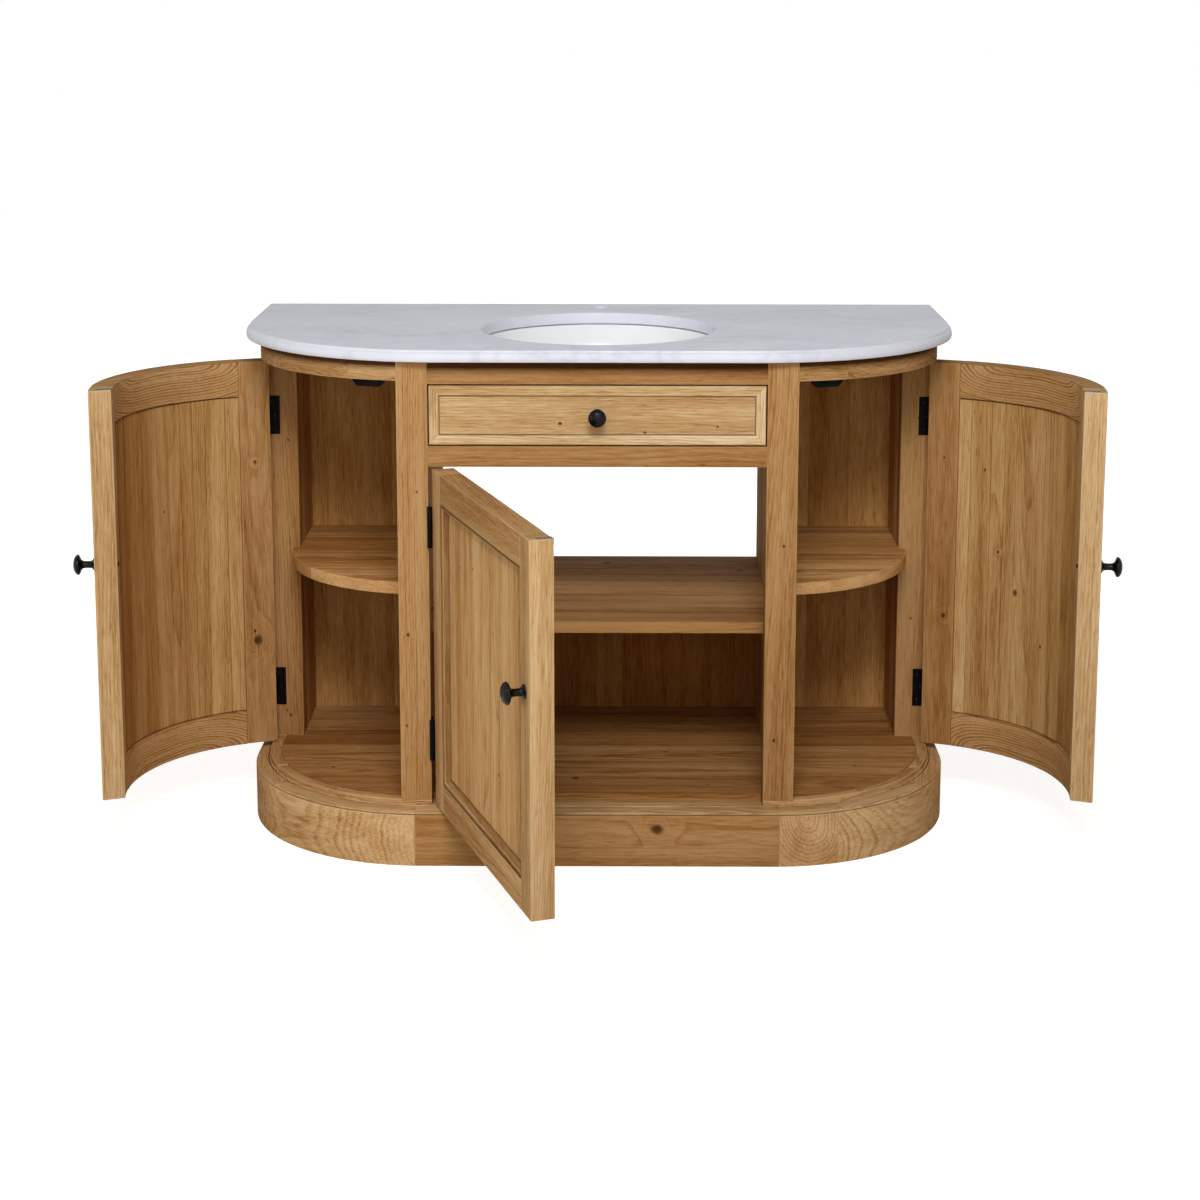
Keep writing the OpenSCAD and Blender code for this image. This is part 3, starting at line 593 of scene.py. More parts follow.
def frameWoods(rng, low, high, alongS, tone, placeOf=lambda p: p.x):
    # four mitred strips round a rectangle, each with the grain along its run
    boards = [cutBoard(rng, along, across, (low + high) / 2, tone, "rift", 0.05)
              for along, across in ((alongS, axisZ), (alongS, axisZ), (axisZ, alongS), (axisZ, alongS))]

    def pick(f):
        middle = f.calc_center_median()
        s, z = placeOf(middle), middle.z
        gaps = (z - low.z, high.z - z, s - low.x, high.x - s)
        return boards[gaps.index(min(gaps))]
    return pick


def putDown(name, mesh, body, replaced):
    mesh.shade_smooth()
    mesh.set_sharp_from_angle(angle=math.radians(24))
    made = bpy.data.objects.new(name, mesh)
    bpy.context.scene.collection.objects.link(made)
    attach(made, body)
    if replaced:
        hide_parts(*replaced)


def finishPiece(piece, name, body, replaced, finish):
    mesh = bpy.data.meshes.new(name)
    mesh.from_pydata(piece["verts"], [], piece["faces"])
    for label, kind, field in (("grain", "FLOAT_VECTOR", "vector"), ("tone", "FLOAT", "value"),
                               ("edge", "FLOAT", "value")):
        values = piece[label]
        flat = [c for v in values for c in v] if kind == "FLOAT_VECTOR" else values
        mesh.attributes.new(label, kind, "CORNER").data.foreach_set(field, flat)
    mesh.materials.append(finish)
    putDown(name, mesh, body, replaced)


def spaced(count, low, high):
    return [low + (high - low) * k / count for k in range(count + 1)]


# straight boards of the carcass

boardList = {                                # node: grain, width direction, wood, tone, way it was sawn
    "plinth_front": (axisX, axisZ, "pale_oak", 0.76, "flat"),
    "plinth_back": (axisX, axisZ, "deep_oak", 0.9, "flat"),
    "front_post_left": (axisZ, axisX, "pale_oak", 0.80, "rift"),
    "front_post_right": (axisZ, axisX, "pale_oak", 0.77, "rift"),
    "side_post_left": (axisZ, axisX, "pale_oak", 0.74, "rift"),
    "side_post_right": (axisZ, axisX, "pale_oak", 0.74, "rift"),
    "rear_post_left": (axisZ, axisX, "oak", 0.95, "rift"),
    "rear_post_right": (axisZ, axisX, "oak", 0.95, "rift"),
    "top_rail": (axisX, axisZ, "pale_oak", 0.75, "rift"),
    "drawer_rail": (axisX, axisZ, "pale_oak", 0.74, "rift"),
    "side_panel_left": (axisZ, axisY, "oak", 0.95, "flat"),
    "side_panel_right": (axisZ, axisY, "oak", 0.95, "flat"),
}
boardKnots = {                               # place on the finished cabinet, size
    "plinth_front": [((100.8, -35, 66.7), 10.0), ((-206, -35, 40), 3.0)],
    "front_post_left": [((-317.5, 0, 394.8), 3.4), ((-300, 0, 640), 1.8), ((-322, 0, 236), 2.2)],
    "front_post_right": [((311, 0, 548), 2.4), ((298, 0, 212), 3.0)],
    "side_post_left": [((-568.6, 362, 143.6), 2.6), ((-575, 362, 152), 1.8), ((-562, 362, 660), 2.0)],
    "side_post_right": [((570, 362, 330), 2.6), ((576, 362, 702), 1.8)],
    "drawer_rail": [((166, 0, 722), 2.4)],
}
for name, (along, across, slot, tone, figure) in boardList.items():
    low, high = nodeBox(name)
    bm, piece = boxShape(low, high), newPiece()
    # the top rail gets the painted shadow of the marble's overhang
    marks = roundAndShadeUnderMarble(bm, 1.6, high.z, 1.1) if name == "top_rail" else roundEdges(bm, 1.6)
    wood = cutBoard(random.Random(name), along, across, (low + high) / 2, tone, figure, 0.02)
    addPart(piece, bm, wood, marks=marks)
    knots = knotsAt(wood, boardKnots.get(name, []))
    finish = makeWood(camel(name) + "Oak", slot, knots) if knots else woods[slot]
    finishPiece(piece, camel(name), "cabinet", [name], finish)

staveList = {"divider_left": (axisZ, 88, 1.0), "divider_right": (axisZ, 88, 1.0),      # grain, width, tone
             "shelf_centre": (axisX, 97, 0.84)}
shelfKnots = [((13.6, 501.4, 399), 6.5), ((261.4, 448, 399), 6.0), ((120, 330, 399), 3.0)]
frontWearAndHighlight = 0.7                              # how much a shelf's front face is lightened: wear on its edge, and a painted highlight where the front light meets it
for name, (along, width, tone) in staveList.items():
    isShelf, rng = name == "shelf_centre", random.Random(name)
    low, high = nodeBox(name)
    cuts = spaced(round((high.y - low.y) / width), low.y, high.y)
    piece, knots = newPiece(), []
    for a, b in zip(cuts, cuts[1:]):
        lowB, highB = Vector((low.x, a + 0.1, low.z)), Vector((high.x, b - 0.1, high.z))
        bm = boxShape(lowB, highB)
        marks = roundEdges(bm, 0.7, 1, mark=-0.5)
        if isShelf and a == cuts[0]:
            # front face lightened: wear and painted highlight
            marks.update({f: frontWearAndHighlight for f in bm.faces if f.normal.y < -0.9})
        figure = rng.choice(("flat", "rift"))
        wood = cutBoard(rng, along, axisY, (lowB + highB) / 2, tone, figure, 0.09)
        addPart(piece, bm, wood, marks=marks)
        knots += knotsAt(wood, [spot for spot in shelfKnots if isShelf and a < spot[0][1] < b])
    finish = makeWood("shelfOak", "oak", knots, **streaked) if isShelf else woods["oak"]
    finishPiece(piece, camel(name), "cabinet", [name], finish)


# floor board: planks across the cabinet, a curved rim and the lower strip of the door's rebate

floorBoard = {
    "firstPlank": (39, 128), "planks": 5, "rim": 20, "rimOverlap": 0.2, "gap": 0.15,
    "tones": (0.79, 0.79, 0.75, 0.75, 0.75, 0.75),
    "knots": {0: [((-39.5, 118, 105), 6.5), ((190, 84, 105), 2.6)], 2: [((120, 268, 105), 4.0)],
              1: [((-470, 176, 105), 3.6), ((455, 190, 105), 3.0)]},
}


def plankShape(outline, low, high):
    return solidShape([[(x, y, z) for x, y in outline] for z in (low, high)])


def rightLimit(shape, y):
    half, front, radius = shape
    cy = front + radius
    if y >= cy:
        return half
    return half - radius + math.sqrt(max(0.0, radius ** 2 - (cy - y) ** 2))


piece, rng, knots = newPiece(), random.Random("floor"), []
rim, gap, post = floorBoard["rim"], floorBoard["gap"], cabinet["postInner"]
low, high = cabinet["plinthTop"], cabinet["floorTop"]
firstEdge, secondEdge = floorBoard["firstPlank"]
cuts = [firstEdge] + spaced(floorBoard["planks"], secondEdge, cabinet["depth"])
for i, (y0, y1) in enumerate(zip(cuts, cuts[1:])):
    start = rim + 0.5 if i == 0 else y0 + gap
    right = [(rightLimit(inset(bow, rim), y), y) for y in spaced(10, start, y1 - gap)]
    right = ([(post, y0), (post, rim)] if i == 0 else []) + right
    bm = plankShape(right + [(-x, y) for x, y in reversed(right)], low, high)
    wood = cutBoard(rng, axisX, axisY, (0, (y0 + y1) / 2, high), floorBoard["tones"][i], "flat", 0.14)
    addBoard(piece, bm, wood, 0.6, segments=1, mark=-0.6)
    knots += knotsAt(wood, floorBoard["knots"].get(i, []))
for side, place in sides:
    profile = bandAround(bow, rim - floorBoard["rimOverlap"], low, high)
    for run in ([("x", post), ("x", 300), ("x", 333)] + [("a", v) for v in (14, 20, 26, 32)],
                [("a", v) for v in range(32, 66, 4)],
                [("a", v) for v in range(66, 90, 4)] + [("y", bowR), ("y", cabinet["sidePost"])],
                [("y", cabinet["sidePost"]), ("y", cabinet["depth"])]):
        bm = sweepShape(profile, run)
        along, middle = runBetween(bow, run[0], run[-1])
        wood = cutBoard(rng, along, axisZ.cross(along), middle, 1.0, "rift", 0.04)
        addBoard(piece, bm, wood, 1.8, place, segments=3, angle=40,
                 only=lambda e: all(v.co.z > high - 0.1 for v in e.verts))
bm = boxShape((-post, 0, low), (post, firstEdge - 0.1, cabinet["rebateTop"]))
wood = cutBoard(rng, axisX, axisY, (0, 20, low), 0.97, "flat", 0.02)
addBoard(piece, bm, wood, 0.8, segments=1, mark=-0.4)
finish = makeWood("floorOak", "oak", knots, **streaked)
finishPiece(piece, "floorBoard", "cabinet", ["base_board"], finish)
print("straight boards made")


# plinth: curved ends from glued blocks

plinth = {"half": 619, "front": -35, "radius": 322, "seam": 308, "thick": 40}
plinthShape = (plinth["half"], plinth["front"], plinth["radius"])
seam, plinthTop = plinth["seam"], cabinet["plinthTop"]
# the right end's first block is cut nearly across the log: the rings stand on it as nested arcs
arcBlock = {"end": 20.5, "along": (0.1, -0.72, 0.70), "tone": 1.08, "shift": (3, -27)}

for side, place in sides:
    piece, rng = newPiece(), random.Random("plinth" + side)
    cuts = [("x", seam), ("a", 90), ("y", cabinet["backRear"])]
    if side == "right":
        cuts.insert(1, ("a", arcBlock["end"]))
    for start, end in zip(cuts, cuts[1:]):
        bm = sweepShape(bandAround(plinthShape, plinth["thick"], 0, plinthTop), stationsBetween(start, end))
        along, middle = runBetween(plinthShape, start, end)
        middle += axisZ * plinthTop / 2
        wood = cutBoard(rng, along, axisZ, middle, 1.13, "flat", 0.02)
        if start == ("x", seam) and side == "right":
            wood = cutBoard(rng, Vector(arcBlock["along"]), axisX, middle, arcBlock["tone"], "flat", 0.02)
            wood["shift"] = Vector((wood["shift"].x, *arcBlock["shift"]))
        addBoard(piece, bm, wood, 1.2, place, angle=40)
    finishPiece(piece, "plinthEnd" + side.capitalize(), "cabinet", ["plinth_end_" + side], plinthOak)

# moulding between plinth and floor: its line is (share of the way out, height)
moulding = {
    "line": [(0.0, 96.5), (0.06, 96.5), (0.10, 95.0), (0.16, 94.8), (0.20, 96.2), (0.30, 96.5), (0.60, 96.3),
             (0.80, 95.8), (0.93, 94.9), (0.98, 94.0), (1.0, 92.8), (0.985, 91.6), (0.965, 91.3),
             (0.94, 91.2), (0.94, 90.1), (0.0, 90.1)],
    "seams": (22, 56), "middle": 93, "gap": 0.15,
}


def mouldingJointShade(bm):
    # darker in the joint and groove under the lip (dark joint and painted shade) and in the step behind
    # (painted shade)
    marks = {}
    for f in bm.faces:
        z = f.calc_center_median().z
        if z < 91.5:
            marks[f] = -0.6
        elif 94.6 < z < 95.2 and f.normal.z > 0.98:
            marks[f] = -0.9
    return marks


piece, rng = newPiece(), random.Random("moulding")
profile = [(tuple(f + (p - f) * share for f, p in zip(bow, plinthShape)), z)
           for share, z in moulding["line"]]
bm = solidShape([[(x, shape[1], z) for shape, z in profile]
                 for x in (moulding["gap"] - seam, seam - moulding["gap"])])
wood = cutBoard(rng, axisX, axisY, (0, -17, moulding["middle"]), 1.02, "flat", 0.02)
addPart(piece, bm, wood, marks=mouldingJointShade(bm))
stops = [("x", seam)] + [("a", a) for a in moulding["seams"]] + [("y", cabinet["backRear"])]
for side, place in sides:
    for start, end in zip(stops, stops[1:]):
        bm = sweepShape(profile, stationsBetween(start, end))
        along, middle = runBetween(plinthShape, start, end)
        along.normalize()
        middle += axisZ * moulding["middle"]
        wood = cutBoard(rng, along, axisZ.cross(along), middle, 1.03, "rift", 0.05)
        addPart(piece, bm, wood, place, mouldingJointShade(bm))
finishPiece(piece, "plinthMoulding", "cabinet", ["base_moulding"], woods["pale_oak"])

# curved rails under the marble
# fade: how far down the painted shadow of the marble reaches on the apron
apron = {"thick": 38, "seams": (24.4, 60), "firstAngle": 12, "lean": 0.12, "fade": 0.74, "tone": 0.88}
low, high, post = cabinet["apronBottom"], cabinet["marbleBottom"], ("y", cabinet["sidePost"])
stops = [("x", cabinet["postOuter"] + 0.2)] + [("a", a) for a in apron["seams"]]
stops += [post, ("y", cabinet["depth"])]
for side, place in sides:
    piece, rng = newPiece(), random.Random("apron" + side)
    for start, end in zip(stops, stops[1:]):
        bm = sweepShape(bandAround(bow, apron["thick"], low, high),
                        stationsBetween(start, end, apron["firstAngle"]))
        # painted shadow of the marble's overhang on the apron
        marks = roundAndShadeUnderMarble(bm, 1.2, high, apron["fade"], angle=40)
        along, middle = runBetween(bow, start, end)
        wood = cutBoard(rng, along.normalized() + axisZ * apron["lean"], axisZ,
                        middle + axisZ * (low + high) / 2, apron["tone"], "rift", 0.04)
        addPart(piece, bm, wood, place, marks)
    finishPiece(piece, "apron" + side.capitalize(), "cabinet", ["apron_" + side], woods["pale_oak"])

# side shelves: planks with a rounded front
sideShelf = {"setback": 92, "radius": 271, "inner": 318, "outer": 545, "low": 440, "high": 461,
             "planks": (94.2, 205, 330, 440, 547), "frontTone": 1.10, "tone": 0.88}


def shelfLimit(y):
    middle = sideShelf["setback"] + sideShelf["radius"]
    if y >= cabinet["sidePost"]:
        return sideShelf["outer"]
    return bowX + math.sqrt(max(0, sideShelf["radius"] ** 2 - (middle - y) ** 2))


def onShelfFront(e):
    return not upright(e) and any(v.co.y < 360 and abs(v.co.x - shelfLimit(v.co.y)) < 0.5 for v in e.verts)


inner, planks, post = sideShelf["inner"], sideShelf["planks"], cabinet["sidePost"]
for side, place in sides:
    piece, rng = newPiece(), random.Random("shelf" + side)
    for y0, y1 in zip(planks, planks[1:]):
        isFront = y0 == planks[0]
        ys = [y0 + 0.1 + (y1 - y0 - 0.2) * k / 12 for k in range(13)]
        if y0 < post < y1:
            ys = sorted(ys + [post - 0.01, post])
        outline = ([] if isFront else [(inner, ys[0])]) + [(shelfLimit(y), y) for y in ys] + [(inner, ys[-1])]
        bm = plankShape(outline, sideShelf["low"], sideShelf["high"])
        marks = roundEdges(bm, 1.5, angle=40, only=onShelfFront)
        # front face lightened: wear and painted highlight
        marks.update({f: frontWearAndHighlight for f in bm.faces if abs(f.normal.z) < 0.3 and f.normal.y < -0.2})
        tone = sideShelf["frontTone" if isFront else "tone"]
        wood = cutBoard(rng, axisX, axisY, (430, (y0 + y1) / 2, 450), tone, "flat", 0.15)
        addPart(piece, bm, wood, place, marks)
    finishPiece(piece, "shelf" + side.capitalize(), "cabinet", ["shelf_" + side], sideShelfOak)
print("curved parts of the carcass made")


# doors

sideDoor = {
    "axis": (601, 359.7), "turn": 69, "low": 107.5, "high": 811, "freeX": 335.5, "endY": 357.4, "stile": 55,
    "rail": 62, "thick": 38, "recess": 12, "backRecess": 4, "staves": 11, "knobHeight": 512, "knobEdge": 29,
    # tones: hinge stile, panel beside it, and how much painted shade darkens the panel towards the free stile
    "tones": {"left": (0.82, 1.02, 0.44), "right": (0.72, 0.98, 0.12)},
    "stileKnots": {"left": [((-617.8, 308.3, 300.6), 9.5), ((-622, 306, 318), 3.0),
                            ((-615.3, 309.2, 629.2), 3.0)],
                   "right": [((622, 306, 350), 4.2), ((616, 308, 640), 2.4)]},
    "panelKnots": {"left": [((-760, 205, 560), 2.2)],
                   "right": [((737.9, 234.6, 410.1), 5.5), ((709.9, 261.5, 478.3), 3.0),
                             ((775.8, 181.7, 326.1), 3.2), ((685.4, 279.6, 623.2), 2.4)]},
}
centreDoor = {
    "axis": (-278.7, -4), "turn": -71, "low": 99, "high": 679.5, "left": -276.4, "right": 278.5, "frame": 50,
    "thick": 38, "recess": 12, "backRecess": 4, "staves": 9, "knobHeight": 446, "knobEdge": 27,
    "panelKnots": [((-221.5, -121.0, 539.6), 2.8), ((-196.2, -194.6, 555.9), 2.4),
                   ((-150.1, -328.5, 259.0), 3.4)],
}
# the moulding round a panel: (distance in, depth), closed behind
stickLine = [(0.0, 0.0), (0.0, 1.6), (1.2, 1.9), (2.2, 1.2), (4.5, 1.5), (7.5, 3.2), (10.0, 6.2), (11.2, 9.6),
             (11.4, 12.0), (0, 12.0)]


def turnPlace(door):
    around = Matrix.Translation((*door["axis"], 0))
    return around @ Matrix.Rotation(math.radians(door["turn"]), 4, "Z") @ around.inverted()


doorPlaces = {"left": mirrorPlace @ turnPlace(sideDoor), "right": turnPlace(sideDoor),
              "centre": turnPlace(centreDoor)}
freeAngle = math.degrees(math.asin((sideDoor["freeX"] - bowX) / bowR))
stileAngle = freeAngle + math.degrees(sideDoor["stile"] / bowR)
hingeY = sideDoor["endY"] - sideDoor["stile"]
hingeAngle = math.degrees(math.acos((bowR - hingeY) / bowR))
knobAngle = freeAngle + math.degrees(sideDoor["knobEdge"] / bowR)
perDegree = bowR * math.radians(1)


def alongBow(point):
    # how far round the bow end a point lies, in degrees
    return math.degrees(math.atan2(point.x - bowX, bowR - point.y))


def onBow(s, z, depth):
    return planPoint(inset(bow, depth), ("a", s / perDegree)) + axisZ * z


low, high, rail, thick, recess = (sideDoor[k] for k in ("low", "high", "rail", "thick", "recess"))
z0, z1, width = low + rail, high - rail, hingeAngle - stileAngle
chord, _ = runBetween(bow, ("a", 20), ("a", 88))
joints = [(axisZ * (z0 + 2), -axisZ), (axisZ * (z1 - 2.6), axisZ)]        # where the panel meets its frame
for angle, way in ((stileAngle + 0.36, -1), (hingeAngle - 0.36, 1)):
    turned = math.radians(angle)
    joints.append((planPoint(bow, ("a", angle)), way * Vector((math.cos(turned), math.sin(turned), 0))))
for side, _ in sides:
    place, body, rng = doorPlaces[side], side + "_door", random.Random(side + " door")
    stileTone, panelTone, darkening = sideDoor["tones"][side]
    piece = newPiece()
    bm = sweepShape(bandAround(bow, thick, low, high),
                    [("x", sideDoor["freeX"])] + [("a", v) for v in spaced(4, freeAngle + 2.2, stileAngle)])
    wood = cutBoard(rng, axisZ, axisX, (360, 20, 450), 1.07, "rift", 0.02)
    addBoard(piece, bm, wood, 2.4, place, segments=3, angle=40)
    finishPiece(piece, side + "DoorFreeStile", body, [body + "_free_stile"], woods["pale_oak"])
    piece = newPiece()
    bm = sweepShape(bandAround(bow, thick, low, high),
                    [("y", y) for y in (hingeY, bowR, 330, sideDoor["endY"])])
    wood = cutBoard(rng, axisZ, axisY, (580, 330, 450), stileTone, "flat", 0.02)
    addBoard(piece, bm, wood, 1.8, place, angle=40)
    finish = makeWood(side + "HingeStileOak", "pale_oak", knotsAt(wood, sideDoor["stileKnots"][side], place))
    finishPiece(piece, side + "DoorHingeStile", body, [body + "_hinge_stile"], finish)
    for label, zLow, aside in (("bottom", low, 36), ("top", high - rail, -38)):
        piece = newPiece()
        stations = [("a", v) for v in spaced(24, stileAngle + 0.02, hingeAngle - 2)] + [("y", hingeY - 0.1)]
        bm = sweepShape(bandAround(bow, thick, zLow, zLow + rail), stations)
        wood = cutBoard(rng, chord, axisZ, (500, 100, zLow + rail / 2), 1.0, "flat", 0.03)
        wood["shift"] = Vector((rng.uniform(0, 9000), aside, 31))
        # every rounded edge of the rail is darkened: dark joints at its ends, and painted shade along its
        # edge over the panel
        addBoard(piece, bm, wood, 0.8, place, angle=40, mark=-0.45)
        finishPiece(piece, side + "Door" + label.capitalize() + "Rail", body, [f"{body}_{label}_rail"],
                    figuredOak)
    piece, knots, staves = newPiece(), [], sideDoor["staves"]
    seams = sorted(stileAngle + width * (k + rng.uniform(-0.25, 0.25)) / staves for k in range(1, staves))
    cuts = [stileAngle] + seams + [hingeAngle]
    for a, b in zip(cuts, cuts[1:]):
        middle = (a + b) / 2
        bm = sweepShape(bandAround(bow, thick - recess - sideDoor["backRecess"], z0 + 0.1, z1 - 0.1, recess),
                        [("a", v) for v in spaced(3, a + 0.012, b - 0.012)])
        cutAcross(bm, joints)
        marks = roundEdges(bm, 0.5, 1, angle=40, mark=-0.5, only=upright)
        # the panel's border beside the frame is darkened: painted shade of the frame's step, and dirt in the
        # joint
        shadeAndDirtBeyond(bm, marks, joints)
        turned = math.radians(middle)
        outward = Vector((math.sin(turned), -math.cos(turned), 0))
        figure = rng.choice(("flat", "rift", "quarter"))
        centre = planPoint(inset(bow, 20), ("a", middle)) + axisZ * 460
        # painted shade: the panel is darker towards the free stile
        tone = panelTone - darkening * (hingeAngle - middle) / width
        wood = cutBoard(rng, axisZ, axisZ.cross(outward), centre, tone, figure, 0.06)
        addPart(piece, bm, wood, place, marks)
        knots += knotsAt(wood, [spot for spot in sideDoor["panelKnots"][side]
                                if a < alongBow(place.inverted() @ Vector(spot[0])) < b], place)
    finish = makeWood(side + "PanelOak", "amber", knots, **{"Streak Strength": 2.0})
    finishPiece(piece, side + "DoorPanel", body, [side + "_door_panel"], finish)
    # the moulding round the panel on the outer face
    piece, marks = newPiece(), {}
    start, end = stileAngle * perDegree, hingeAngle * perDegree
    bm = nestedShape(onBow, (start, end, z0, z1), stickLine, (26, 1), capped=False)
    strips = frameWoods(rng, Vector((start, 0, z0)), Vector((end, 0, z1)), chord, 0.97,
                        lambda p: alongBow(p) * perDegree)
    # painted shade in the quirk by the frame and on the inner edge against the panel
    for f in bm.faces:
        middle = f.calc_center_median()
        deep = bowR - math.hypot(middle.x - bowX, min(0, middle.y - bowR))
        if 1.0 < deep < 1.9 or deep > 10:
            marks[f] = -0.5
    addPart(piece, bm, strips, place, marks)
    finishPiece(piece, side + "DoorMoulding", body, [], woods["oak"])

place, body, rng = doorPlaces["centre"], "centre_door", random.Random("centre door")
low, high, left, right = (centreDoor[k] for k in ("low", "high", "left", "right"))
wide, thick = centreDoor["frame"], centreDoor["thick"]
x0, x1, z0, z1 = left + wide, right - wide, low + wide, high - wide
for label, xLow, zLow, xHigh, zHigh, tone in (
        ("hinge_stile", left, low, x0, high, 0.96), ("free_stile", x1, low, right, high, 0.99),
        ("top_rail", x0 + 0.1, z1, x1 - 0.1, high, 0.97), ("bottom_rail", x0 + 0.1, low, x1 - 0.1, z0, 1.0)):
    isStile, piece = "stile" in label, newPiece()
    along, across, slot = (axisZ, axisX, "pale_oak") if isStile else (axisX, axisZ, "oak")
    lowCorner, highCorner = Vector((xLow, 0, zLow)), Vector((xHigh, thick, zHigh))
    wood = cutBoard(rng, along, across, (lowCorner + highCorner) / 2, tone, "rift", 0.02)
    addBoard(piece, boxShape(lowCorner, highCorner), wood, 2.0 if isStile else 1.4, place)
    finishPiece(piece, camel(f"{body}_{label}"), body, [f"{body}_{label}"], woods[slot])
piece, knots = newPiece(), []
joints = [(axisZ * (z0 + 13), -axisZ), (axisZ * (z1 - 13), axisZ), (axisX * (x0 + 13), -axisX),
          (axisX * (x1 - 13), axisX)]
cuts = spaced(centreDoor["staves"], x0, x1)
for a, b in zip(cuts, cuts[1:]):
    bm = boxShape((a + 0.05, centreDoor["recess"], z0 + 0.1),
                  (b - 0.05, thick - centreDoor["backRecess"], z1 - 0.1))
    cutAcross(bm, joints)
    marks = roundEdges(bm, 0.5, 1, mark=-0.5, only=upright)
    # painted shadow of the top rail on the panel: a darker line at its lower edge, a lighter band above it
    for down, mark in ((26, -0.45), (24.5, -0.14)):
        band = [(axisZ * (z1 - down), axisZ)]
        cutAcross(bm, band)
        shadeAndDirtBeyond(bm, marks, band, mark)
    # the border beside the frame: painted shade of its step, and dirt in the joint
    shadeAndDirtBeyond(bm, marks, joints, -0.65)
    figure = rng.choice(("flat", "rift"))
    wood = cutBoard(rng, axisZ, axisX, ((a + b) / 2, 20, 390), 1.12, figure, 0.09)
    addPart(piece, bm, wood, place, marks)
    knots += knotsAt(wood, [spot for spot in centreDoor["panelKnots"]
                            if a < (place.inverted() @ Vector(spot[0])).x < b], place)
finish = makeWood("centrePanelOak", "golden", knots)
finishPiece(piece, "centreDoorPanel", body, ["centre_door_panel"], finish)
piece, marks = newPiece(), {}
bm = nestedShape(flatFront, (x0, x1, z0, z1), stickLine, capped=False)
strips = frameWoods(rng, Vector((x0, 0, z0)), Vector((x1, 0, z1)), axisX, 0.97)
# painted shade: the quirk and the inner edge against the panel, and the hinge-side and bottom runs of the
# moulding are darker too
for f in bm.faces:
    middle = f.calc_center_median()
    if 1.0 < middle.y < 1.75 or middle.y > 10:
        marks[f] = -0.6
    elif middle.y > 3 and middle.x < x0 + 12:
        marks[f] = -0.5
    elif middle.y > 4 and middle.z < z0 + 12:
        marks[f] = -0.4
addPart(piece, bm, strips, place, marks)
finishPiece(piece, "centreDoorMoulding", body, [], woods["oak"])
print("doors made")


# drawer

drawer = {"border": 16, "groove": 2.2, "borderTone": 1.22, "tone": 1.03,
          "knots": [((-61.8, 0, 755.8), 3.4), ((78.5, 0, 740.6), 2.5), ((198.7, 0, 750.9), 2.2)]}
low, high = nodeBox("drawer_front")
piece, rng, border = newPiece(), random.Random("drawer front"), drawer["border"]
inner = border + drawer["groove"]
bm = nestedShape(flatFront, (low.x, high.x, low.z, high.z), [
    (0, high.y), (0, 1.2), (1.2, 0), (border - 0.3, 0), (border, 0.4), (border, 2.0),
    (inner, 2.0), (inner, 0.5), (inner + 0.5, 0)])
strips = frameWoods(rng, low, high, axisX, drawer["borderTone"])
panel = cutBoard(rng, axisX, axisZ, (low + high) / 2, drawer["tone"], "rift", 0.01)


def drawerWood(f):
    middle = f.calc_center_median()
    gap = min(middle.x - low.x, high.x - middle.x, middle.z - low.z, high.z - middle.z)
    return panel if gap > inner or middle.y > 3 else strips(f)


# the groove's faces are darkened
marks = {f: -0.6 for f in bm.faces if 0.9 < f.calc_center_median().y < 2.5}
addPart(piece, bm, drawerWood, marks=marks)
finish = makeWood("drawerOak", "pale_oak", knotsAt(panel, drawer["knots"]))
finishPiece(piece, "drawerFront", "drawer", ["drawer_front"], finish)


def looseBoxes(name):
    # low and high corner of every loose board of a node
    source = bmesh.new()
    source.from_mesh(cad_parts[name].data)
    bmesh.ops.remove_doubles(source, verts=source.verts, dist=1e-6)
    boxes, seen = [], set()
    for v in source.verts:
        stack, members = [v], []
        while stack:
            w = stack.pop()
            if w not in seen:
                seen.add(w)
                members.append(w.co / mm)
                stack += [e.other_vert(w) for e in w.link_edges]
        if members:
            boxes.append([Vector([end(p[i] for p in members) for i in range(3)]) for end in (min, max)])
    source.free()
    return boxes


looseBoards = {                              # node: slot, grain, body
    "drawer_sides": ("pale_oak", axisY, "drawer"), "drawer_backs": ("pale_oak", axisX, "drawer"),
    "drawer_bottoms": ("oak", axisY, "drawer"), "drawer_runners": ("deep_oak", axisY, "cabinet"),
    "plinth_bearers": ("deep_oak", axisY, "cabinet"),
}
for name, (slot, along, body) in looseBoards.items():
    piece, rng = newPiece(), random.Random(name)
    for low, high in looseBoxes(name):
        wood = cutBoard(rng, along, axisZ, (low + high) / 2, 0.98, "rift", 0.05)
        addBoard(piece, boxShape(low, high), wood, 0.9)
    finishPiece(piece, camel(name), body, [name], woods[slot])


# marble and basin

marble = {
    "half": 626, "front": -22, "radius": 366, "back": 580, "corner": 12,
    "cutout": (204, 252, 120), "tapHole": (17.5, 532, 40),             # radius, y, points round it
    "edge": [(3.0, 860.0), (0.9, 860.8), (0.0, 863.0), (0.0, 867.5), (0.8, 871.5), (2.6, 874.6), (4.6, 876.2),
             (5.6, 876.4), (5.8, 878.2), (6.4, 879.4), (7.6, 880.0)],  # (distance in, height)
    "holeEdge": [(0.8, 860), (0, 861), (0, 878), (0.5, 879.4), (1.6, 880)],
}


def marbleRing(by):
    shape = inset((marble["half"], marble["front"], marble["radius"]), by)
    turn = marble["corner"] - by
    middle = Vector((shape[0] - turn, marble["back"] - turn, 0))
    stations = [("x", x) for x in (0, 90, 180)] + [("a", a) for a in range(0, 91, 3)]
    right = [planPoint(shape, station) for station in stations]
    right += [Vector((shape[0], y, 0)) for y in (420, 500)]
    for a in range(9):
        right.append(middle + turn * Vector((math.cos(a * math.pi / 16), math.sin(a * math.pi / 16), 0)))
    return right + [Vector((-p.x, p.y, 0)) for p in reversed(right[1:])]


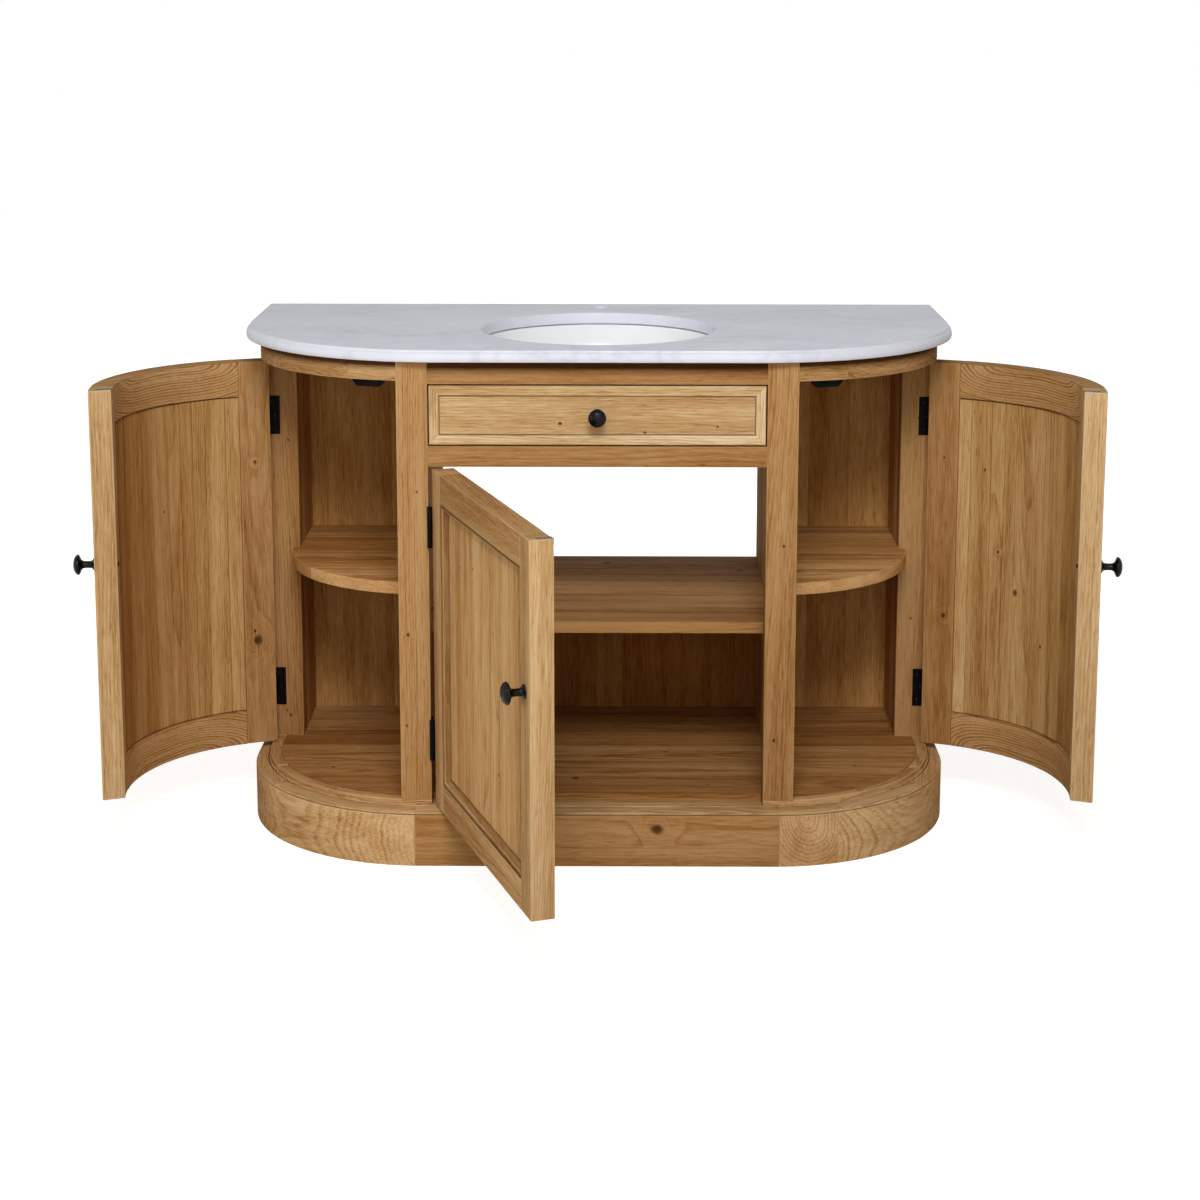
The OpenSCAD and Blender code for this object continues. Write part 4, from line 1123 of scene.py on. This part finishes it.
bm = bmesh.new()
levels = [[[bm.verts.new(p + axisZ * z) for p in marbleRing(by)] for by, z in marble["edge"]]]
for radius, y, count in (marble["cutout"], marble["tapHole"]):
    levels.append([[bm.verts.new(p) for p in circle(radius + by, count, y=y, z=z)]
                   for by, z in marble["holeEdge"]])
for rings in levels:
    joinRings(bm, rings)
for level in (0, -1):
    rims = [rings[level] for rings in levels]
    edges = [bm.edges.get((rim[i], rim[(i + 1) % len(rim)])) for rim in rims for i in range(len(rim))]
    bmesh.ops.triangle_fill(bm, use_beauty=True, use_dissolve=False, edges=edges)
bmesh.ops.recalc_face_normals(bm, faces=bm.faces)
piece = newPiece()
addPart(piece, bm)
finishPiece(piece, "marbleTop", "cabinet", ["marble_top"], marbleFinish)

basin = {"radius": 198, "depth": 150, "wall": 8, "rim": 224, "rimThick": 12, "waste": 22.5, "gap": 1.4}


def bowlLine(radius, depth, top, steps=28, power=2.5):
    turns = [math.pi / 2 * k / steps for k in range(steps + 1)]
    bend = 2 / power
    line = [(radius * max(0, math.cos(a)) ** bend, top - depth * math.sin(a) ** bend) for a in turns]
    return [p for p in line if p[0] > basin["waste"] + 6]


top = cabinet["marbleBottom"]
radius, depth, wall, rim, waste = (basin[k] for k in ("radius", "depth", "wall", "rim", "waste"))
bottom, under, lip = top - depth, top - basin["rimThick"], top - basin["gap"]
outside = bowlLine(radius + wall, depth + wall, top)[:0:-1]
line = [(waste, bottom - wall)] + [p for p in outside if p[1] < under]
line += [(rim - 2, under), (rim, under + 2), (rim, top - 2.5), (rim - 1.5, lip), (radius + 6.5, lip),
         (radius + 3, lip - 0.3), (radius + 0.8, lip - 1.6)]
line += bowlLine(radius, depth - 2, top - 2)[1:]
line += [(waste + 3, bottom + 0.6), (waste + 0.6, bottom), (waste, bottom - 1)]
bm = latheShape(line + [line[0]], 96)
bmesh.ops.remove_doubles(bm, verts=bm.verts, dist=0.001)
bmesh.ops.recalc_face_normals(bm, faces=bm.faces)
piece = newPiece()
addPart(piece, bm, place=Matrix.Translation((0, marble["cutout"][1], 0)))
finishPiece(piece, "basinBowl", "cabinet", ["basin"], ceramicFinish)
print("marble and basin made")


# black iron

knobLine = curvedLine([                      # (radius, height)
    (11.3, 0), (11.3, 1.4), (10.6, 2.4), (8.2, 3.6), (6.6, 6), (6.1, 10), (6.1, 16), (6.7, 19.5), (9.0, 22),
    (13.2, 23.8), (16.6, 25.6), (17.5, 27.6), (17.1, 29.6), (14.9, 32.2), (10.6, 34.6), (5.4, 35.8),
    (0, 36)], 3)
bowFoot = (*planPoint(bow, ("a", knobAngle)).xy, sideDoor["knobHeight"])
centreFoot = (centreDoor["right"] - centreDoor["knobEdge"], 0, centreDoor["knobHeight"])
knobs = {                                    # node: body, place, foot, turn, size of the head, board
    "left_door_knob": ("left_door", doorPlaces["left"], bowFoot, knobAngle, 1.0, 38),
    "right_door_knob": ("right_door", doorPlaces["right"], bowFoot, knobAngle, 1.0, 38),
    "centre_door_knob": ("centre_door", doorPlaces["centre"], centreFoot, 0, 1.0, 38),
    "drawer_knob": ("drawer", keepPlace, (0, 0, 769), 0, 30 / 35, 22),
}
for name, (body, place, foot, turn, size, board) in knobs.items():
    aim = (Matrix.Translation(foot) @ Matrix.Rotation(math.radians(turn), 4, "Z")
           @ Matrix.Rotation(math.radians(90), 4, "X"))
    head = [(0, 0)] + [(r * (size if h > 19 else 1) * 0.988, h * 0.996) for r, h in knobLine]
    screw = [(0, -board - 2.4), (2.6, -board - 2.3), (4.2, -board - 1.2), (4.4, -board), (2.0, -board + 0.1),
             (2.0, 0.0), (0, 0.0)]
    piece = newPiece()
    for line, segments in ((head, 48), (screw, 20)):
        bm = latheShape(line, segments)
        bm.transform(aim)
        addPart(piece, bm, place=place)
    finishPiece(piece, camel(name), body, [name], knobFinish)

for name in ("frame_hinges", "left_door_hinges", "right_door_hinges", "centre_door_hinges", "door_catches",
             "basin_clips"):
    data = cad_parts[name].data
    data.materials.clear()
    data.materials.append(zincFinish if name == "basin_clips" else ironFinish)

# steel strikes let into the doors' top ends: an angle plate with a slot in its middle
strike = {"proud": 0.3, "thick": 1.1, "reach": 26, "drop": 9,
          "strips": ((2, 7, 0), (7, 10, 0.8), (10, 15, 0))}            # start, end, how deep it is sunk
straight = (2000, 0, 500)                    # a plan whose front is straight, for the flat door


def strikeProfile(shape, top, sunk):
    behind, proud, plate = sideDoor["thick"], strike["proud"] - sunk, strike["thick"]
    inner, outer = inset(shape, behind + proud), inset(shape, behind - strike["reach"])
    under = inset(shape, behind - plate)
    return [(outer, top + proud), (inner, top + proud), (inner, top - strike["drop"]),
            (under, top - strike["drop"]), (under, top - plate), (outer, top - plate)]


for label, door, shape, edge, way in (
        ("left", sideDoor, bow, sideDoor["freeX"], 1), ("right", sideDoor, bow, sideDoor["freeX"], 1),
        ("centre", centreDoor, straight, centreDoor["right"], -1)):
    plate, slot = newPiece(), newPiece()
    for start, end, sunk in strike["strips"]:
        ends = [("x", edge + way * d) for d in (start, end)]
        bm = sweepShape(strikeProfile(shape, door["high"], sunk), ends)
        # the sunk middle strip goes to the slot object in black iron: painted shade standing in for the
        # hollow of the slot
        addPart(slot if sunk else plate, bm, place=doorPlaces[label])
    finishPiece(plate, label + "DoorStrike", label + "_door", [], dullSteel)
    finishPiece(slot, label + "DoorStrikeSlot", label + "_door", [], ironFinish)
print("ironwork made")


# boarded back by geometry nodes

def geoNode(tree, kind, inputs=None, **settings):
    return addNode(tree, "GeometryNode" + kind, inputs, **settings).outputs[0]


def storeOn(tree, geometry, name, value, kind="FLOAT_VECTOR", domain="INSTANCE"):
    return geoNode(tree, "StoreNamedAttribute", {"Geometry": geometry, "Name": name, "Value": value},
                   data_type=kind, domain=domain)


def makeBoardTree():
    tree, take, give = makeGroup("boardedWall", [
        ("Boards", "Int", 3), ("Width", "Float", 0.2), ("Height", "Float", 0.7),
        ("Thickness", "Float", 0.012), ("Gap", "Float", -0.0003), ("Rounding", "Float", 0.0012),
        ("Tone", "Float", 1.0), ("Seed", "Int", 1), ("Material", "Material", None)],
        [("Geometry", "Geometry")], "GeometryNodeTree")
    pitch = calc(tree, "DIVIDE", take["Width"], take["Boards"])
    first = joinXYZ(tree, times(tree, pitch, 0.5))
    rows = geoNode(tree, "MeshLine",
                   {"Count": take["Boards"], "Start Location": first, "Offset": joinXYZ(tree, pitch)})
    section = geoNode(tree, "CurvePrimitiveQuadrilateral",
                      {"Width": minus(tree, pitch, take["Gap"]), "Height": take["Thickness"]})
    rounded = geoNode(tree, "FilletCurve", {"Curve": section, "Radius": take["Rounding"], "Count": 2},
                      mode="POLY")
    path = geoNode(tree, "CurvePrimitiveLine", {"End": joinXYZ(tree, z=take["Height"])})
    board = geoNode(tree, "CurveToMesh", {"Curve": path, "Profile Curve": rounded, "Fill Caps": True})
    copies = geoNode(tree, "InstanceOnPoints", {"Points": rows, "Instance": board})
    tone = addNode(tree, "FunctionNodeRandomValue", {2: 0.9, 3: 1.1, "Seed": take["Seed"]}, data_type="FLOAT")
    toned = storeOn(tree, copies, "tone", times(tree, tone.outputs[1], take["Tone"]), "FLOAT")
    shift = addNode(tree, "FunctionNodeRandomValue",
                    {0: (0, -0.03, 0.035), 1: (15, 0.12, 0.09), "Seed": plus(tree, take["Seed"], 7)},
                    data_type="FLOAT_VECTOR")
    real = geoNode(tree, "RealizeInstances", {0: storeOn(tree, toned, "shift", shift.outputs[0])})
    # the grain runs up each board, leaning a little
    x, y, z = addNode(tree, "ShaderNodeSeparateXYZ", {0: geoNode(tree, "InputPosition")}).outputs
    along = joinXYZ(tree, z, calc(tree, "MULTIPLY_ADD", z, 0.02, x), calc(tree, "MULTIPLY_ADD", z, 0.03, y))
    named = geoNode(tree, "InputNamedAttribute", {0: "shift"}, data_type="FLOAT_VECTOR")
    grained = storeOn(tree, real, "grain", vectorCalc(tree, "ADD", along, named), domain="POINT")
    finished = geoNode(tree, "SetMaterial", {"Geometry": grained, "Material": take["Material"]})
    setInputs(tree, give, {0: finished})
    return tree


def applyTree(tree, name, values):
    # runs a node tree on a fresh object and keeps its result as a plain mesh
    holder = bpy.data.objects.new(name + "Holder", bpy.data.meshes.new(name + "Source"))
    bpy.context.scene.collection.objects.link(holder)
    modifier = holder.modifiers.new("nodes", "NODES")
    modifier.node_group = tree
    for item in tree.interface.items_tree:
        if item.item_type == "SOCKET" and item.in_out == "INPUT" and item.name in values:
            modifier[item.identifier] = values[item.name]
    graph = bpy.context.evaluated_depsgraph_get()
    made = bpy.data.meshes.new_from_object(holder.evaluated_get(graph))
    made.name = name
    holder.modifiers.clear()
    bpy.data.objects.remove(holder)
    return made


def boardSpot(mesh, start, pitch, spot):
    # a knot's place in the grain of the board that it lies on, from any corner of that board
    point, size = Vector(spot[0]) * mm, spot[1] * mm
    board = math.floor((point.x - start) / pitch)
    corner = next(v for v in mesh.vertices if math.floor((v.co.x - start) / pitch) == board)
    dx, dy, dz = point - corner.co
    grain = mesh.attributes["grain"].data[corner.index].vector
    return (*(grain + Vector((dz, dx + 0.02 * dz, dy + 0.03 * dz))), size)


boardedBack = {"back_panel_left": (3, 1.22, 11), "back_panel_right": (3, 1.22, 12),    # boards, tone, seed
               "back_panel_centre": (7, 0.85, 13)}
backKnot = ((38.5, 547, 191.3), 7.5)
boardTree = makeBoardTree()
for name, (count, tone, seed) in boardedBack.items():
    low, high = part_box(name)
    mesh = applyTree(boardTree, camel(name), {
        "Boards": count, "Width": high.x - low.x, "Height": high.z - low.z, "Thickness": high.y - low.y,
        "Tone": tone, "Seed": seed, "Material": backOak})
    mesh.transform(Matrix.Translation((low.x, (low.y + high.y) / 2, low.z)))
    if name == "back_panel_centre":
        knots = [boardSpot(mesh, low.x, (high.x - low.x) / count, backKnot)]
        mesh.materials[0] = makeWood("backKnotOak", "deep_oak", knots, **backFigure)
    putDown(camel(name), mesh, "cabinet", [name])
print("boarded back made")


def makeScrewTree():
    tree, take, give = makeGroup("screwRow", [
        ("Count", "Int", 3), ("Spacing", "Float", 0.024), ("Stagger", "Float", 0.004),
        ("Radius", "Float", 0.003), ("Height", "Float", 0.0003), ("Material", "Material", None)],
        [("Geometry", "Geometry")], "GeometryNodeTree")
    first = times(tree, times(tree, minus(tree, take["Count"], 1), take["Spacing"]), -0.5)
    row = geoNode(tree, "MeshLine", {"Count": take["Count"], "Start Location": joinXYZ(tree, z=first),
                                     "Offset": joinXYZ(tree, z=take["Spacing"])})
    # every second screw stands a little to the side
    odd = calc(tree, "MODULO", geoNode(tree, "InputIndex"), 2)
    aside = times(tree, minus(tree, odd, 0.5), take["Stagger"])
    moved = geoNode(tree, "SetPosition", {"Geometry": row, "Offset": joinXYZ(tree, aside)})
    head = addNode(tree, "GeometryNodeMeshCone", {
        "Vertices": 20, "Radius Top": times(tree, take["Radius"], 0.72), "Radius Bottom": take["Radius"],
        "Depth": take["Height"]}).outputs
    # the driver's recess: the flat top is drawn in and sunk
    drawn = addNode(tree, "GeometryNodeExtrudeMesh", {
        "Mesh": head["Mesh"], "Selection": head["Top"], "Offset Scale": 0.0}, mode="FACES").outputs
    shrunk = geoNode(tree, "ScaleElements",
                     {"Geometry": drawn["Mesh"], "Selection": drawn["Top"], "Scale": 0.4})
    sink = joinXYZ(tree, z=times(tree, take["Height"], -0.9))
    sunk = geoNode(tree, "SetPosition", {"Geometry": shrunk, "Selection": drawn["Top"], "Offset": sink})
    copies = geoNode(tree, "InstanceOnPoints",
                     {"Points": moved, "Instance": sunk, "Rotation": (math.pi / 2, 0, 0)})
    real = geoNode(tree, "RealizeInstances", {0: copies})
    finished = geoNode(tree, "SetMaterial", {"Geometry": real, "Material": take["Material"]})
    setInputs(tree, give, {0: finished})
    return tree


leaves = {                                   # leaf: x, y, turn, heights; its screws: stagger, height
    "left": (-587, 360.0, 0, (199.5, 706), 0.005, 0.0005),
    "right": (587, 360.0, 0, (199.5, 706), 0.005, 0.0005),
    "centre": (-279.02, 9, 90, (212, 580.5), 0.004, 0.0004),
}
screwTree = makeScrewTree()
for label, (x, y, turn, heights, stagger, raised) in leaves.items():
    joined = bmesh.new()
    turned = Matrix.Rotation(math.radians(turn), 4, "Z")
    for z in heights:
        mesh = applyTree(screwTree, label + "Row", {
            "Count": 3, "Spacing": 0.024, "Stagger": stagger, "Radius": 0.0030, "Height": raised,
            "Material": knobFinish})
        mesh.transform(Matrix.Translation(Vector((x, y, z)) * mm) @ turned)
        joined.from_mesh(mesh)
    mesh = bpy.data.meshes.new(label + "HingeScrews")
    joined.to_mesh(mesh)
    joined.free()
    mesh.materials.append(knobFinish)
    putDown(label + "HingeScrews", mesh, "cabinet", [])
print("hinge screws made")

# the rail at the back, notched at the tap
notch = 45
low, high = nodeBox("rear_rail")
line = [(low.x, low.z), (high.x, low.z), (high.x, high.z), (notch, high.z), (notch, high.z - notch),
        (-notch, high.z - notch), (-notch, high.z), (low.x, high.z)]
bm, piece = solidShape([[(x, y, z) for x, z in line] for y in (low.y, high.y)]), newPiece()
wood = cutBoard(random.Random("rear rail"), axisX, axisZ, (low + high) / 2, 1.0, "flat", 0.02)
addBoard(piece, bm, wood, 1.0)
finishPiece(piece, "rearRail", "cabinet", ["rear_rail"], backOak)


# camera, floor and light

view = {"focal": 72.304, "place": (0.03621, -3.91894, 1.46016), "pitch": 0.17634, "yaw": 0.00505,
        "roll": 0.00106, "shift": (-0.00608, -0.15)}
camera = bpy.data.objects.new("camera", bpy.data.cameras.new("camera"))
camera.data.lens, camera.data.sensor_width = view["focal"], 36
camera.data.shift_x, camera.data.shift_y = view["shift"]
camera.matrix_world = (Matrix.Translation(view["place"]) @ Matrix.Rotation(view["yaw"], 4, "Z")
                       @ Matrix.Rotation(math.pi / 2 - view["pitch"], 4, "X")
                       @ Matrix.Rotation(view["roll"], 4, "Z"))
bpy.context.scene.collection.objects.link(camera)
bpy.context.scene.camera = camera

studio = {"floorSize": 12, "floorNear": 0.80, "floorFar": 1.0, "worldFront": 0.24, "worldBack": 0.17}
lamps = {                                    # place, what it aims at, size, power
    "keyLight": ((0.1, -3.2, 3.1), (0, 0, 0.5), (1.6, 1.0), 104),
    "fillLight": ((0.0, -4.6, 1.4), (0, 0, 0.45), (2.6, 1.4), 34),
    "sideLight": ((-3.4, -1.9, 1.5), (-0.2, -0.2, 0.4), (1.6, 1.6), 27),
    "rearLight": ((0.5, 3.4, 0.7), (0, 0.5, 0.45), (2.4, 0.8), 20),
}


def seenPlain(tree):
    # 1 for rays that come from the camera, also by way of a reflection or glass
    path = addNode(tree, "ShaderNodeLightPath").outputs
    seen = calc(tree, "MAXIMUM", path["Is Camera Ray"], path["Is Glossy Ray"])
    return calc(tree, "MAXIMUM", seen, path["Is Transmission Ray"])


mesh, size = bpy.data.meshes.new("floor"), studio["floorSize"]
corners = [(-size, -size, 0), (size, -size, 0), (size, size, 0), (-size, size, 0)]
mesh.from_pydata(corners, [], [(0, 1, 2, 3)])
floor = bpy.data.objects.new("floor", mesh)
bpy.context.scene.collection.objects.link(floor)
floor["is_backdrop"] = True
made, tree, shader = newMaterial("paleFloor")
# the floor keeps the shadow near the object and fades to plain white further out
outward = vectorCalc(tree, "LENGTH", objectPlace(tree))
lift = mapRange(tree, outward, 1.1, 2.6, studio["floorNear"], studio["floorFar"])
setInputs(tree, shader, {
    "Base Color": (0.62, 0.56, 0.49, 1), "Roughness": 0.9, "Specular IOR Level": 0.0,
    "Emission Color": (1, 1, 1, 1), "Emission Strength": times(tree, seenPlain(tree), lift)})
mesh.materials.append(made)

# the light comes from the front; what the camera sees is plain white
world = bpy.data.worlds.new("studio")
bpy.context.scene.world = world
world.use_nodes = True
tree = world.node_tree
sky = addNode(tree, "ShaderNodeTexCoord").outputs["Generated"]
_, y, _ = addNode(tree, "ShaderNodeSeparateXYZ", {0: sky}).outputs
around = mapRange(tree, y, -0.5, 0.6, studio["worldFront"], studio["worldBack"])
setInputs(tree, tree.nodes["Background"], {
    "Color": (1, 1, 1, 1), "Strength": calc(tree, "MAXIMUM", around, seenPlain(tree))})

for name, (place, aim, size, power) in lamps.items():
    lamp = bpy.data.lights.new(name, "AREA")
    lamp.shape, lamp.energy = "RECTANGLE", power
    lamp.size, lamp.size_y = size
    made = bpy.data.objects.new(name, lamp)
    made.location = place
    made.rotation_euler = (Vector(aim) - Vector(place)).to_track_quat("-Z", "Y").to_euler()
    bpy.context.scene.collection.objects.link(made)
bpy.context.scene.view_settings.view_transform = "Standard"
print("camera and light made")

low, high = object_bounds()
